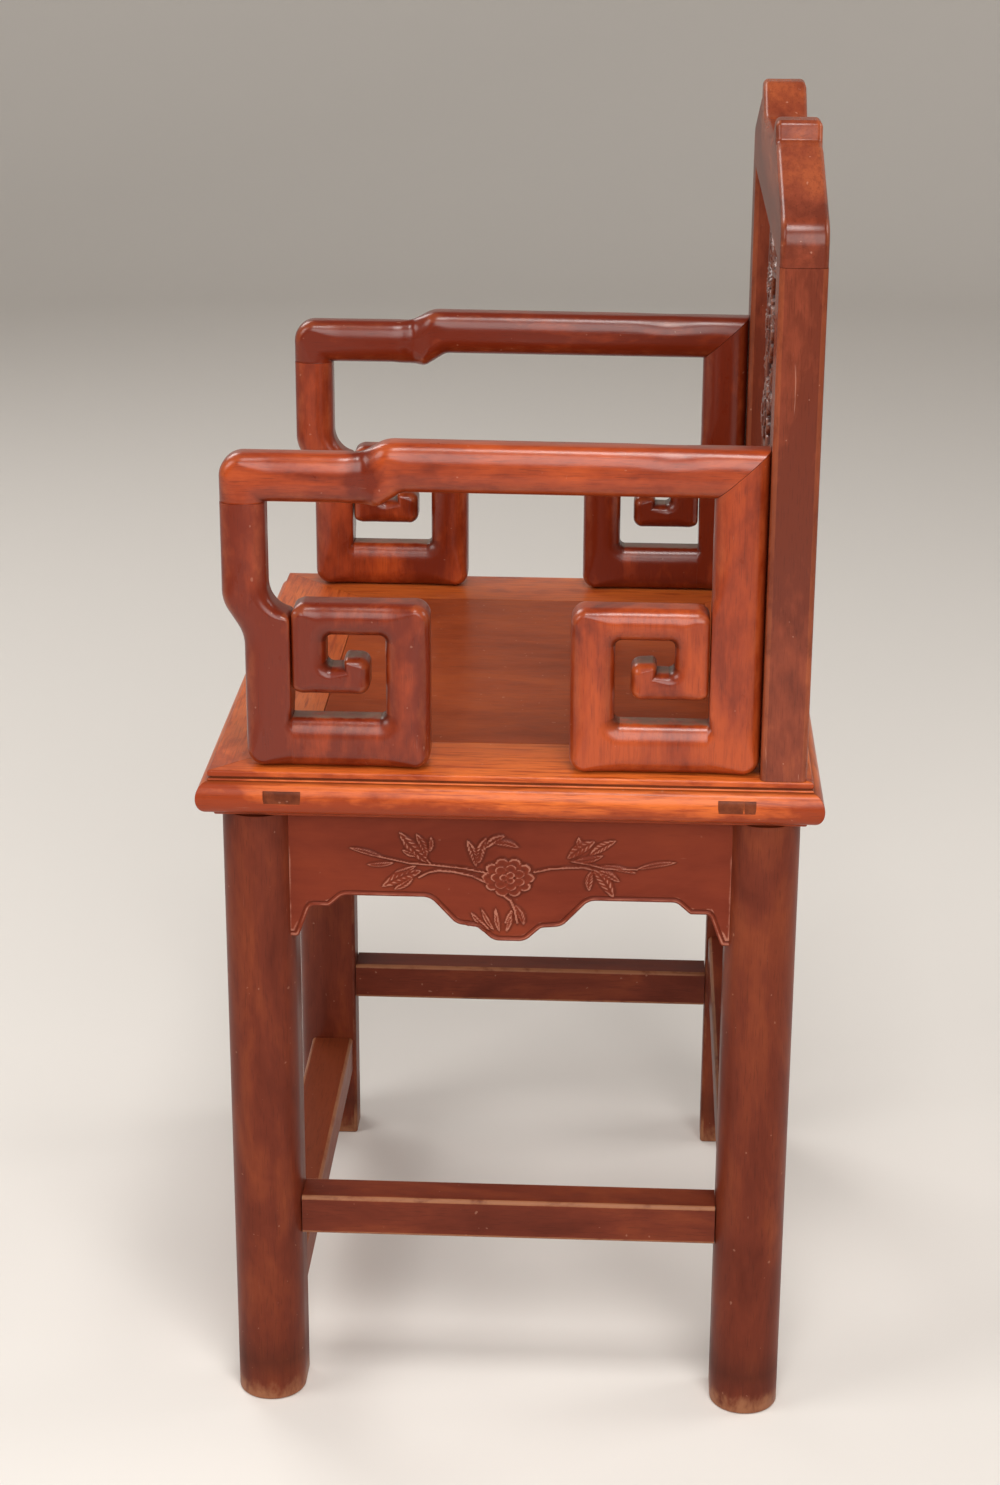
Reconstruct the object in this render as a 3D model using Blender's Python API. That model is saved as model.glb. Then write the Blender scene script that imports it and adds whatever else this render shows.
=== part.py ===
"""Chinese hardwood armchair: round legs, mitred seat frame, and arms that end in square scrolls.

Z is up and the floor is Z = 0. The sitter looks along -Y, so the front of the chair is -Y and
the sitter's left is +X. Lengths are in metres.
"""

import math

import bmesh
import bpy
from mathutils import Vector

# Clearances: between touching pieces, how far a cut or a joint's root runs past a face, and how
# near a corner counts as lying on a plane
FIT = 0.0003
OVERRUN = 0.004
ON_PLANE = 0.000003

# Seat frame, measured over its rounded edge
SEAT_WIDTH = 0.514
SEAT_DEPTH = 0.450
SEAT_HEIGHT = 0.523
SEAT_THICKNESS = 0.035
RAIL_WIDTH = 0.078
NOSE_DEPTH = 0.0085
TOP_BEAD_HEIGHT = 0.0045
TOP_BEAD_ROUND = 0.0015
GROOVE_DEPTH = 0.0020
GROOVE_HEIGHT = 0.0015
LOWER_BEAD_HEIGHT = 0.0035
LOWER_BEAD_SETBACK = 0.0120
NOSE_STEPS = 8

# Through tenons of the front and back rails, shown on the side rails' edges
THROUGH_WIDTH = 0.0270
THROUGH_HEIGHT = 0.0125
THROUGH_INSET = 0.0020
WEDGE_WIDTH = 0.0085

# Floating seat panel and the two battens dovetailed under it
PANEL_THICKNESS = 0.012
PANEL_TONGUE = 0.006
PANEL_LAP = 0.007
PANEL_GAP = 0.0006
BATTEN_SPACING = 0.180
BATTEN_WIDTH = 0.030
BATTEN_HEIGHT = 0.020
BATTEN_TENON = 0.010
BATTEN_TENON_HEIGHT = 0.010
DOVETAIL_NECK = 0.014
DOVETAIL_HEAD = 0.019
DOVETAIL_HEIGHT = 0.0035

# Legs: round outside, square at the inner corner
LEG_WIDTH = 0.052
LEG_INSET_X = 0.009
LEG_INSET_Y = 0.015
LEG_INNER_ROUND = 0.003
FOOT_ROUND = 0.002
LEG_TENON = 0.018
LEG_TENON_LENGTH = 0.020
LEG_TENON_SHIFT = 0.003

# Stretchers
STRETCHER_WIDTH = 0.0306
STRETCHER_HEIGHT = 0.032
STRETCHER_SETBACK = 0.0195
STRETCHER_ROUND = 0.003
STRETCHER_TENON = 0.020
STRETCHER_TENON_THICKNESS = 0.012
STRETCHER_TENON_HEIGHT = 0.020
SIDE_STRETCHER_TOP = 0.169
BACK_STRETCHER_TOP = 0.206
FOOTREST_TOP = 0.0965
FOOTREST_WIDTH = 0.0366
FOOTREST_SETBACK = 0.0122

# Aprons under the seat
APRON_THICKNESS = 0.016
APRON_SETBACK = 0.014
APRON_HOUSING = 0.008
APRON_TONGUE = 0.005
APRON_END_DEPTH = 0.083
APRON_BRACKET_DEPTH = 0.118
APRON_TIP_WIDTH = 0.003
APRON_STEP_WIDTH = 0.036
APRON_LOBE_WIDTH = 0.058
APRON_LOBE_DEPTH = 0.0995

# Corners of half an apron's lower edge. Depths are shares of the lobe's depth. From the leg inwards,
# distances and roundings are shares of the step's width, and along the lobe, where distances run
# from the middle, they are shares of the lobe's width.
APRON_STEP_SHARES = (
    (0.3333, 0.7538, 0.1111),
    (0.7222, 0.7538, 0.1111),
    (1.0000, 0.6633, 0.2222),
)
APRON_LOBE_SHARES = (
    (1.0000, 0.6633, 0.2069),
    (0.6672, 0.8744, 0.2069),
    (0.4000, 0.8894, 0.1034),
    (0.2000, 1.0000, 0.2069),
)

# Arms, seen from the side: setbacks are from the seat's edge and rises are over the seat. The arm's
# two steps are placed from its front end.
ARM_THICKNESS = 0.031
ARM_INSET = 0.030
ARM_EDGE_ROUND = 0.0062
ARM_FRONT_SETBACK = 0.0208
ARM_FRONT_ROUND = 0.017
ARM_LOW_TOP_RISE = 0.2300
ARM_LOW_BOTTOM_RISE = 0.1952
ARM_HIGH_TOP_RISE = 0.2390
ARM_HIGH_BOTTOM_RISE = 0.2040
ARM_BACK_TOP_RISE = 0.2375
ARM_BACK_BOTTOM_RISE = 0.2030
ARM_STEP_TOP_PLACE = 0.1077
ARM_STEP_BOTTOM_PLACE = 0.1192
ARM_STEP_LENGTH = 0.0180
ARM_STEP_ROUND = 0.024
ARM_LIP = 0.0025
ARM_CORNER_ROUND = 0.011
FRONT_POST_WIDTH = 0.0320
FRONT_FOOT_SETBACK = 0.036
FRONT_FOOT_WIDTH = 0.033
FRONT_STEP_TOP_RISE = 0.1080
FRONT_STEP_BOTTOM_RISE = 0.1010
FRONT_SHOULDER_RISE = 0.1135
FRONT_NECK_RISE = 0.1225
REAR_POST_WIDTH = 0.0375
POST_FOOT_ROUND = 0.013
POST_STEP_ROUND = 0.012
POST_NECK_ROUND = 0.022

# Square scroll beside each post: its bars narrow as they turn inwards
SCROLL_WIDTH = 0.0988
SCROLL_HEIGHT = 0.1225
SCROLL_SLIT = 0.0010
SCROLL_BASE_BAR = 0.0367
SCROLL_OUTER_BAR = 0.0316
SCROLL_TOP_BAR = 0.0236
SCROLL_INNER_BAR = 0.0240
SCROLL_LOW_BAR = 0.0200
SCROLL_LOW_BAR_BASE = 0.0552
SCROLL_TIP_WIDTH = 0.0168
SCROLL_TIP_TOP = 0.0825
SCROLL_NOTCH = 0.0142
SCROLL_OUTER_ROUND = 0.0115
SCROLL_TOP_ROUND = 0.0096
SCROLL_LOW_ROUND = 0.0077
SCROLL_INNER_ROUND = 0.0045

# Tenons of the arms
POST_TENON_WIDTH = 0.014
POST_TENON_THICKNESS = 0.011
POST_TENON_LENGTH = 0.009
RAIL_TENON_LENGTH = 0.022
SCROLL_PIN = 0.008
STILE_TENON = 0.010

# Back
BACK_SETBACK = 0.0465
BACK_THICKNESS = 0.033
STILE_WIDTH = 0.048
STILE_SHIFT = 0.003
STILE_ROUND = 0.0042
STILE_TENON_WIDTH = 0.020
STILE_TENON_THICKNESS = 0.012
STILE_FOOT_TENON = 0.012
STILE_HEAD_TENON = 0.016
CREST_BASE_RISE = 0.366
CREST_HEIGHT = 0.080

# Top of half the crest, from its end to the middle: distance of each corner from the middle as a
# share of half the crest, and its height over the crest's base and its rounding as shares of the
# crest's height
CREST_SHARES = (
    (1.0000, 0.34875, 0.2375),
    (0.5645, 0.81250, 0),
    (0.5141, 0.83500, 0.0750),
    (0.4899, 1.00000, 0.0625),
    (0.4032, 1.00000, 0.1000),
    (0.2742, 0.71875, 0.2500),
)

# Carved back splat
SPLAT_WIDTH = 0.160
SPLAT_THICKNESS = 0.014
SPLAT_RECESS = 0.010
SPLAT_ROUND = 0.002
SPLAT_TENON_WIDTH = 0.120
SPLAT_TENON_THICKNESS = 0.008
SPLAT_TENON_LENGTH = 0.012

# Angles and counts of the facets
ARC_STEP = math.radians(24.0)
SHARP_ANGLE = math.radians(40.0)
EDGE_STEPS = 2

# Places that follow from the sizes above
SEAT_BASE = SEAT_HEIGHT - SEAT_THICKNESS
HALF_WIDTH = SEAT_WIDTH / 2
HALF_DEPTH = SEAT_DEPTH / 2
LEG_SPREAD_X = SEAT_WIDTH - 2 * LEG_INSET_X
LEG_SPREAD_Y = SEAT_DEPTH - 2 * LEG_INSET_Y
LEG_X = (LEG_SPREAD_X - LEG_WIDTH) / 2
LEG_Y = (LEG_SPREAD_Y - LEG_WIDTH) / 2
ARM_X = HALF_WIDTH - ARM_INSET
ARM_FRONT = HALF_DEPTH - ARM_FRONT_SETBACK
ARM_LOW_TOP = SEAT_HEIGHT + ARM_LOW_TOP_RISE
ARM_LOW_BOTTOM = SEAT_HEIGHT + ARM_LOW_BOTTOM_RISE
ARM_HIGH_TOP = SEAT_HEIGHT + ARM_HIGH_TOP_RISE
ARM_HIGH_BOTTOM = SEAT_HEIGHT + ARM_HIGH_BOTTOM_RISE
ARM_BACK_TOP = SEAT_HEIGHT + ARM_BACK_TOP_RISE
ARM_BACK_BOTTOM = SEAT_HEIGHT + ARM_BACK_BOTTOM_RISE
ARM_STEP_TOP = ARM_FRONT - ARM_STEP_TOP_PLACE
ARM_STEP_BOTTOM = ARM_FRONT - ARM_STEP_BOTTOM_PLACE
FRONT_FOOT_FRONT = HALF_DEPTH - FRONT_FOOT_SETBACK
FRONT_FOOT_BACK = FRONT_FOOT_FRONT - FRONT_FOOT_WIDTH
FRONT_STEP_TOP = SEAT_HEIGHT + FRONT_STEP_TOP_RISE
FRONT_STEP_BOTTOM = SEAT_HEIGHT + FRONT_STEP_BOTTOM_RISE
FRONT_SHOULDER = SEAT_HEIGHT + FRONT_SHOULDER_RISE
FRONT_NECK = SEAT_HEIGHT + FRONT_NECK_RISE
BACK_FRONT = HALF_DEPTH - BACK_SETBACK
REAR_POST_FRONT = BACK_FRONT - REAR_POST_WIDTH
STILE_X = ARM_X - STILE_SHIFT
BACK_HALF = STILE_X + STILE_WIDTH / 2
BACK_Y = BACK_FRONT + BACK_THICKNESS / 2
CREST_BASE = SEAT_HEIGHT + CREST_BASE_RISE
SPLAT_FRONT = BACK_FRONT + SPLAT_RECESS
SPLAT_Y = SPLAT_FRONT + SPLAT_THICKNESS / 2

SIDES = {"left": 1, "right": -1}
ENDS = {"front": -1, "back": 1}

# Wood: colour, roughness and metallic value
WOODS = {
    "arm_wood": ((0.23, 0.050, 0.022), 0.28),
    "leg_wood": ((0.10, 0.026, 0.018), 0.38),
    "seat_edge_wood": ((0.42, 0.110, 0.030), 0.26),
    "panel_wood": ((0.20, 0.050, 0.022), 0.24),
    "back_wood": ((0.15, 0.032, 0.020), 0.34),
    "carved_wood": ((0.12, 0.030, 0.022), 0.36),
    "tenon_wood": ((0.12, 0.036, 0.028), 0.45),
}


def wood(name):
    """Principled material of one of the woods."""
    material = bpy.data.materials.get(name)
    if material is None:
        colour, roughness = WOODS[name]
        material = bpy.data.materials.new(name)
        material.use_nodes = True
        shader = material.node_tree.nodes["Principled BSDF"]
        shader.inputs["Base Color"].default_value = (*colour, 1)
        shader.inputs["Roughness"].default_value = roughness
        shader.inputs["Metallic"].default_value = 0
    return material


# Outlines


def arc(centre, radius, start, sweep):
    """Points of an arc, both ends included."""
    count = max(1, math.ceil(abs(sweep) / ARC_STEP))
    angles = (start + sweep * n / count for n in range(count + 1))
    return [centre + Vector((math.cos(a), math.sin(a))) * radius for a in angles]


def rounded(corners):
    """Closed outline through (across, up, radius) corners, each turned into an arc of its radius."""
    outline = []
    for k, (across, up, radius) in enumerate(corners):
        here = Vector((across, up))
        back = (Vector(corners[k - 1][:2]) - here).normalized()
        ahead = (Vector(corners[(k + 1) % len(corners)][:2]) - here).normalized()
        if not radius:
            outline.append(here)
            continue
        half = back.angle(ahead) / 2
        centre = here + (back + ahead).normalized() * (radius / math.sin(half))
        first = here + back * (radius / math.tan(half)) - centre
        last = here + ahead * (radius / math.tan(half)) - centre
        start = math.atan2(first.y, first.x)
        sweep = math.remainder(math.atan2(last.y, last.x) - start, math.tau)
        outline += arc(centre, radius, start, sweep)
    return [p for k, p in enumerate(outline) if (p - outline[k - 1]).length > FIT]


def mirrored(half):
    """Whole list of corners from its +X half, which runs from the far end to the middle."""
    return half + [(-across, up, radius) for across, up, radius in reversed(half) if across]


# Solids, as bmeshes


def prism(outline, low, high, plane):
    """Solid of an outline in one of the planes XY, XZ and YZ, from low to high along the third axis."""
    axes = ["XYZ".index(letter) for letter in plane]
    third = 3 - sum(axes)
    mesh = bmesh.new()
    ring = []
    for across, up in outline:
        place = Vector()
        place[axes[0]] = across
        place[axes[1]] = up
        place[third] = low
        ring.append(mesh.verts.new(place))
    push = Vector()
    push[third] = high - low
    grown = bmesh.ops.extrude_face_region(mesh, geom=[mesh.faces.new(ring)])
    moved = [item for item in grown["geom"] if isinstance(item, bmesh.types.BMVert)]
    bmesh.ops.translate(mesh, verts=moved, vec=push)
    bmesh.ops.recalc_face_normals(mesh, faces=mesh.faces)
    return mesh


def block(low, high):
    """Box between two opposite corners."""
    (x0, y0, z0), (x1, y1, z1) = low, high
    return prism([(x0, y0), (x1, y0), (x1, y1), (x0, y1)], z0, z1, "XY")


def round_edges(mesh, radius, chosen=lambda edge: True):
    """Rounds the sharp edges of a bmesh that the test chooses."""
    sharp = [e for e in mesh.edges if e.calc_face_angle(0) > SHARP_ANGLE and chosen(e)]
    bmesh.ops.bevel(mesh, geom=sharp, offset=radius, segments=EDGE_STEPS, profile=0.5,
                    affect="EDGES", clamp_overlap=False)
    return mesh


def trim(mesh, point, outward):
    """Cuts away what lies beyond a plane and closes the cut."""
    everything = mesh.verts[:] + mesh.edges[:] + mesh.faces[:]
    bmesh.ops.bisect_plane(mesh, geom=everything, plane_co=point, plane_no=outward,
                           dist=ON_PLANE, clear_outer=True)
    rim = [e for e in mesh.edges if e.is_boundary]
    bmesh.ops.holes_fill(mesh, edges=rim, sides=0)
    bmesh.ops.recalc_face_normals(mesh, faces=mesh.faces)
    return mesh


def add_object(name, mesh, material, collection):
    """Object made from a bmesh, shaded smooth up to its sharp edges."""
    data = bpy.data.meshes.new(name)
    mesh.to_mesh(data)
    mesh.free()
    data.shade_smooth()
    data.set_sharp_from_angle(angle=SHARP_ANGLE)
    data.materials.append(material)
    made = bpy.data.objects.new(name, data)
    bpy.data.collections[collection].objects.link(made)
    return made


def piece(name, mesh, material):
    """One wooden piece of the chair."""
    return add_object(name, mesh, wood(material), "armchair")


def combine(target, operation, name, mesh):
    """Joins a shape to a piece or cuts it from the piece."""
    tool = add_object(name, mesh, wood("tenon_wood"), "cutters")
    tool.hide_render = True
    tool.display_type = "WIRE"
    modifier = target.modifiers.new(name, "BOOLEAN")
    modifier.operation = operation
    modifier.object = tool
    modifier.solver = "EXACT"


def mortise_and_tenon(male, females, centre, size, axis, name):
    """Tenon on one piece and its mortises in the others.

    The centre is that of the shoulder face. The size is the tenon's width, its height and its
    length, in the order of the two axes across it and then the axis that it runs along, which is
    signed: +X, -X and so on.
    """
    along = "XYZ".index(axis[1])
    sign = 1 if axis[0] == "+" else -1
    across = [k for k in range(3) if k != along]

    def bar(spread, root, tip):
        low, high = Vector(centre), Vector(centre)
        for k, width in zip(across, size[:2]):
            low[k] -= width / 2 + spread
            high[k] += width / 2 + spread
        ends = sorted((centre[along] - sign * root, centre[along] + sign * (size[2] + tip)))
        low[along], high[along] = ends
        return block(low, high)

    combine(male, "UNION", f"{name}_tenon", bar(0, OVERRUN, 0))
    for number, female in enumerate(females):
        combine(female, "DIFFERENCE", f"{name}_mortise_{number}", bar(FIT, OVERRUN / 2, FIT))


# Seat frame


def seat_edge(half):
    """Corners of a seat rail's section: distance from the seat's middle, and height."""
    inner = half - RAIL_WIDTH
    bead = half - LOWER_BEAD_SETBACK
    lip = half - NOSE_DEPTH
    nose_base = SEAT_BASE + LOWER_BEAD_HEIGHT
    nose_top = SEAT_HEIGHT - TOP_BEAD_HEIGHT - GROOVE_HEIGHT
    middle = (nose_base + nose_top) / 2
    rise = (nose_top - nose_base) / 2
    section = [(inner, SEAT_BASE), (bead, SEAT_BASE), (bead, nose_base)]
    for n in range(NOSE_STEPS + 1):
        turn = math.pi * (n / NOSE_STEPS - 0.5)
        section.append((lip + NOSE_DEPTH * math.cos(turn), middle + rise * math.sin(turn)))
    section += [
        (lip - GROOVE_DEPTH, nose_top),
        (lip - GROOVE_DEPTH, SEAT_HEIGHT - TOP_BEAD_HEIGHT),
        (lip, SEAT_HEIGHT - TOP_BEAD_HEIGHT),
        (lip, SEAT_HEIGHT - TOP_BEAD_ROUND),
        (lip - TOP_BEAD_ROUND, SEAT_HEIGHT),
        (inner, SEAT_HEIGHT),
    ]
    return section


def nose_face(half, side, root):
    """Outline of a through tenon, from its root to an end that follows the seat's rounded edge."""
    lip = half - NOSE_DEPTH
    nose_base = SEAT_BASE + LOWER_BEAD_HEIGHT
    nose_top = SEAT_HEIGHT - TOP_BEAD_HEIGHT - GROOVE_HEIGHT
    middle = (nose_base + nose_top) / 2
    rise = (nose_top - nose_base) / 2
    outline = [(side * root, middle - THROUGH_HEIGHT / 2)]
    for n in range(NOSE_STEPS + 1):
        up = THROUGH_HEIGHT * (n / NOSE_STEPS - 0.5)
        reach = NOSE_DEPTH * math.sqrt(1 - (up / rise) ** 2)
        outline.append((side * (lip + reach - FIT), middle + up))
    outline.append((side * root, middle + THROUGH_HEIGHT / 2))
    return outline


def seat_rail(name, end, along_x):
    """One rail of the mitred seat frame: end is the side of the chair that it lies on."""
    half = HALF_DEPTH if along_x else HALF_WIDTH
    length = HALF_WIDTH if along_x else HALF_DEPTH
    section = [(end * across, up) for across, up in seat_edge(half)]
    mesh = prism(section, -length, length, "YZ" if along_x else "XZ")
    for hand in (-1, 1):
        if along_x:
            corner = Vector((hand * HALF_WIDTH, end * HALF_DEPTH, 0))
            outward = Vector((hand, -end, 0)).normalized()
        else:
            corner = Vector((end * HALF_WIDTH, hand * HALF_DEPTH, 0))
            outward = Vector((-end, hand, 0)).normalized()
        trim(mesh, corner - outward * FIT / 2, outward)
    return piece(name, mesh, "seat_edge_wood")


def through_tenons(long_rails, side_rails):
    """Tenons of the front and back rails, which run through the side rails to their edges."""
    nose_middle = (SEAT_BASE + LOWER_BEAD_HEIGHT + SEAT_HEIGHT - TOP_BEAD_HEIGHT - GROOVE_HEIGHT) / 2
    inner = HALF_DEPTH - RAIL_WIDTH + THROUGH_INSET
    for end_name, end in ENDS.items():
        wedge = WEDGE_WIDTH + FIT if end_name == "back" else 0
        width = THROUGH_WIDTH - wedge
        near, far = sorted((end * inner, end * (inner + width)))
        hole_near, hole_far = sorted((end * (inner - FIT), end * (inner + THROUGH_WIDTH + FIT)))
        for side_name, side in SIDES.items():
            name = f"{end_name}_{side_name}_through"
            root = HALF_WIDTH - RAIL_WIDTH - OVERRUN
            tongue = prism(nose_face(HALF_WIDTH, side, root), near, far, "XZ")
            combine(long_rails[end_name], "UNION", f"{name}_tenon", tongue)
            tip = HALF_WIDTH + OVERRUN
            x0, x1 = sorted((side * root, side * tip))
            hole = block(
                (x0, hole_near, nose_middle - THROUGH_HEIGHT / 2 - FIT),
                (x1, hole_far, nose_middle + THROUGH_HEIGHT / 2 + FIT),
            )
            combine(side_rails[side_name], "DIFFERENCE", f"{name}_mortise", hole)


def tenon_wedges():
    """Wedges that fill the rest of the two back mortises."""
    inner = HALF_DEPTH - RAIL_WIDTH + THROUGH_INSET + THROUGH_WIDTH - WEDGE_WIDTH
    for side_name, side in SIDES.items():
        outline = nose_face(HALF_WIDTH, side, HALF_WIDTH - RAIL_WIDTH / 2)
        mesh = prism(outline, inner, inner + WEDGE_WIDTH, "XZ")
        piece(f"tenon_wedge_{side_name}", mesh, "tenon_wood")


def seat_panel(rails):
    """Floating panel, tongued into the frame, on two dovetailed battens."""
    half_x = HALF_WIDTH - RAIL_WIDTH - PANEL_GAP
    half_y = HALF_DEPTH - RAIL_WIDTH - PANEL_GAP
    base = SEAT_HEIGHT - PANEL_THICKNESS
    lap = PANEL_LAP + PANEL_GAP
    mesh = block((-half_x, -half_y, base), (half_x, half_y, SEAT_HEIGHT))
    panel = piece("seat_panel", mesh, "panel_wood")
    slab = block(
        (-half_x - lap + FIT, -half_y - lap + FIT, base + FIT),
        (half_x + lap - FIT, half_y + lap - FIT, base + PANEL_TONGUE),
    )
    combine(panel, "UNION", "panel_tongue", slab)
    grown_x = HALF_WIDTH - RAIL_WIDTH + PANEL_LAP + FIT
    grown_y = HALF_DEPTH - RAIL_WIDTH + PANEL_LAP + FIT
    for name, rail in rails.items():
        groove = block((-grown_x, -grown_y, base), (grown_x, grown_y, base + PANEL_TONGUE + FIT))
        combine(rail, "DIFFERENCE", f"{name}_groove", groove)
    return panel


def dovetail(middle, low, spread):
    """Section of a batten's dovetail, from the batten's top face up into the panel."""
    neck = DOVETAIL_NECK / 2 + spread
    head = DOVETAIL_HEAD / 2 + spread
    top = SEAT_HEIGHT - PANEL_THICKNESS + DOVETAIL_HEIGHT + spread
    return [(middle - neck, low), (middle + neck, low), (middle + head, top), (middle - head, top)]


def battens(panel, rails):
    """Two battens under the panel, tenoned into the front and back rails."""
    top = SEAT_HEIGHT - PANEL_THICKNESS - FIT
    reach = HALF_DEPTH - RAIL_WIDTH - FIT
    for side_name, side in SIDES.items():
        middle = side * BATTEN_SPACING / 2
        low = (middle - BATTEN_WIDTH / 2, -reach, top - BATTEN_HEIGHT)
        batten = piece(
            f"batten_{side_name}",
            block(low, (middle + BATTEN_WIDTH / 2, reach, top)),
            "leg_wood",
        )
        tail = prism(dovetail(middle, top - OVERRUN / 2, 0), -reach + OVERRUN, reach - OVERRUN, "XZ")
        combine(batten, "UNION", f"batten_{side_name}_dovetail", tail)
        slot = prism(dovetail(middle, top - OVERRUN, FIT), -reach + OVERRUN - FIT,
                     reach - OVERRUN + FIT, "XZ")
        combine(panel, "DIFFERENCE", f"batten_{side_name}_slot", slot)
        for end_name, end in ENDS.items():
            mortise_and_tenon(
                batten,
                [rails[end_name]],
                (middle, end * reach, top - BATTEN_HEIGHT / 2),
                (BATTEN_WIDTH - OVERRUN * 2, BATTEN_TENON_HEIGHT, BATTEN_TENON),
                "+Y" if end > 0 else "-Y",
                f"batten_{side_name}_{end_name}",
            )


# Legs, stretchers and aprons


def leg(name, side, end, rails):
    """Leg with a round outside and a square inner corner, tenoned into both rails at its corner."""
    half = LEG_WIDTH / 2
    arcs = half - FIT
    outline = rounded([
        (LEG_X + half, LEG_Y + half, arcs),
        (LEG_X - half, LEG_Y + half, arcs),
        (LEG_X - half, LEG_Y - half, LEG_INNER_ROUND),
        (LEG_X + half, LEG_Y - half, arcs),
    ])
    outline = [(side * across, end * up) for across, up in outline]
    mesh = prism(outline, 0, SEAT_BASE - FIT, "XY")
    round_edges(mesh, FOOT_ROUND, lambda e: max(v.co.z for v in e.verts) < FOOT_ROUND)
    made = piece(name, mesh, "leg_wood")
    place = (side * (LEG_X + LEG_TENON_SHIFT), end * (LEG_Y + LEG_TENON_SHIFT), SEAT_BASE - FIT)
    mortise_and_tenon(made, rails, place, (LEG_TENON, LEG_TENON, LEG_TENON_LENGTH), "+Z", name)
    return made


def stretcher(name, legs, middle, width, top, along_x, length):
    """Straight rail between two legs, tenoned into both; middle is its place across its length."""
    base = top - STRETCHER_HEIGHT
    section = [(middle - width / 2, base), (middle + width / 2, base),
               (middle + width / 2, top), (middle - width / 2, top)]
    reach = length / 2 - FIT
    mesh = prism(section, -reach, reach, "YZ" if along_x else "XZ")
    run = 0 if along_x else 1
    round_edges(mesh, STRETCHER_ROUND,
                lambda e: abs(e.verts[0].co[run] - e.verts[1].co[run]) > reach)
    made = piece(name, mesh, "leg_wood")
    for sign, female in zip((-1, 1), legs):
        up = top - STRETCHER_HEIGHT / 2
        place = (sign * reach, middle, up) if along_x else (middle, sign * reach, up)
        letter = "X" if along_x else "Y"
        mortise_and_tenon(
            made,
            [female],
            place,
            (STRETCHER_TENON_THICKNESS, STRETCHER_TENON_HEIGHT, STRETCHER_TENON),
            ("+" if sign > 0 else "-") + letter,
            f"{name}_{'far' if sign > 0 else 'near'}",
        )
    return made


def apron_half(inner, bracket):
    """Corners of half an apron's lower edge, from the leg to the middle: across, drop and radius."""
    end_depth = APRON_BRACKET_DEPTH if bracket else APRON_END_DEPTH
    tip = [
        (inner + APRON_HOUSING, end_depth, 0),
        (inner - APRON_TIP_WIDTH, end_depth, APRON_TIP_WIDTH),
    ]
    step = [
        (inner - APRON_STEP_WIDTH * from_leg, APRON_LOBE_DEPTH * drop, APRON_STEP_WIDTH * radius)
        for from_leg, drop, radius in APRON_STEP_SHARES
    ]
    lobe = [
        (APRON_LOBE_WIDTH * across, APRON_LOBE_DEPTH * drop, APRON_LOBE_WIDTH * radius)
        for across, drop, radius in APRON_LOBE_SHARES
    ]
    return tip + step + lobe


def apron(name, legs, rail, along_x, end):
    """Shaped board under a seat rail, housed in the legs and tongued into the rail."""
    spread = LEG_SPREAD_X if along_x else LEG_SPREAD_Y
    other = LEG_SPREAD_Y if along_x else LEG_SPREAD_X
    inner = spread / 2 - LEG_WIDTH
    top = SEAT_BASE - FIT
    half = [(across, SEAT_BASE - drop, radius) for across, drop, radius in apron_half(inner, along_x)]
    corners = [(inner + APRON_HOUSING, top, 0)] + half
    corners += [(-across, up, radius) for across, up, radius in reversed(corners)]
    outer = end * (other / 2 - APRON_SETBACK)
    inside = outer - end * APRON_THICKNESS
    low, high = sorted((outer, inside))
    mesh = prism(rounded(corners), low, high, "XZ" if along_x else "YZ")
    made = piece(name, mesh, "leg_wood")
    middle = (low + high) / 2
    place = (0, middle, top) if along_x else (middle, 0, top)
    run = 2 * inner - 2 * APRON_HOUSING
    size = (run, APRON_TONGUE, APRON_TONGUE) if along_x else (APRON_TONGUE, run, APRON_TONGUE)
    mortise_and_tenon(made, [rail], place, size, "+Z", name)
    for sign, female in zip((-1, 1), legs):
        near, far = sorted((sign * (inner - OVERRUN), sign * (inner + APRON_HOUSING + FIT)))
        deepest = APRON_BRACKET_DEPTH if along_x else APRON_END_DEPTH
        base = SEAT_BASE - deepest - FIT
        crown = SEAT_BASE + OVERRUN
        if along_x:
            slot = block((near, low - FIT, base), (far, high + FIT, crown))
        else:
            slot = block((low - FIT, near, base), (high + FIT, far, crown))
        combine(female, "DIFFERENCE", f"{name}_housing_{'far' if sign > 0 else 'near'}", slot)
    return made


# Arms


def scroll_corners(root, turn):
    """Corners of a square scroll, from the window's corner at the post round to the base bar.

    root is the post's inner face and turn is the way that the scroll lies from it, +1 for back.
    The list starts where the base bar's top meets the post and ends at the scroll's lower corner.
    """
    base = SEAT_HEIGHT + FIT
    start = SCROLL_SLIT
    wide = SCROLL_WIDTH
    inner = start + SCROLL_INNER_BAR
    notch = inner + SCROLL_NOTCH
    tip = notch + SCROLL_TIP_WIDTH
    window = wide - SCROLL_OUTER_BAR
    low = SCROLL_LOW_BAR_BASE
    outer, inside = SCROLL_OUTER_ROUND, SCROLL_INNER_ROUND
    path = [
        (0, SCROLL_BASE_BAR, inside),
        (window, SCROLL_BASE_BAR, inside),
        (window, SCROLL_HEIGHT - SCROLL_TOP_BAR, inside),
        (inner, SCROLL_HEIGHT - SCROLL_TOP_BAR, inside),
        (inner, low + SCROLL_LOW_BAR, inside),
        (notch, low + SCROLL_LOW_BAR, inside),
        (notch, SCROLL_TIP_TOP, 0),
        (tip, SCROLL_TIP_TOP, 0),
        (tip, low, SCROLL_LOW_ROUND),
        (start, low, SCROLL_LOW_ROUND),
        (start, SCROLL_HEIGHT, SCROLL_TOP_ROUND),
        (wide, SCROLL_HEIGHT, outer),
        (wide, 0, outer),
    ]
    return [(root + turn * across, base + up, radius) for across, up, radius in path]


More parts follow.
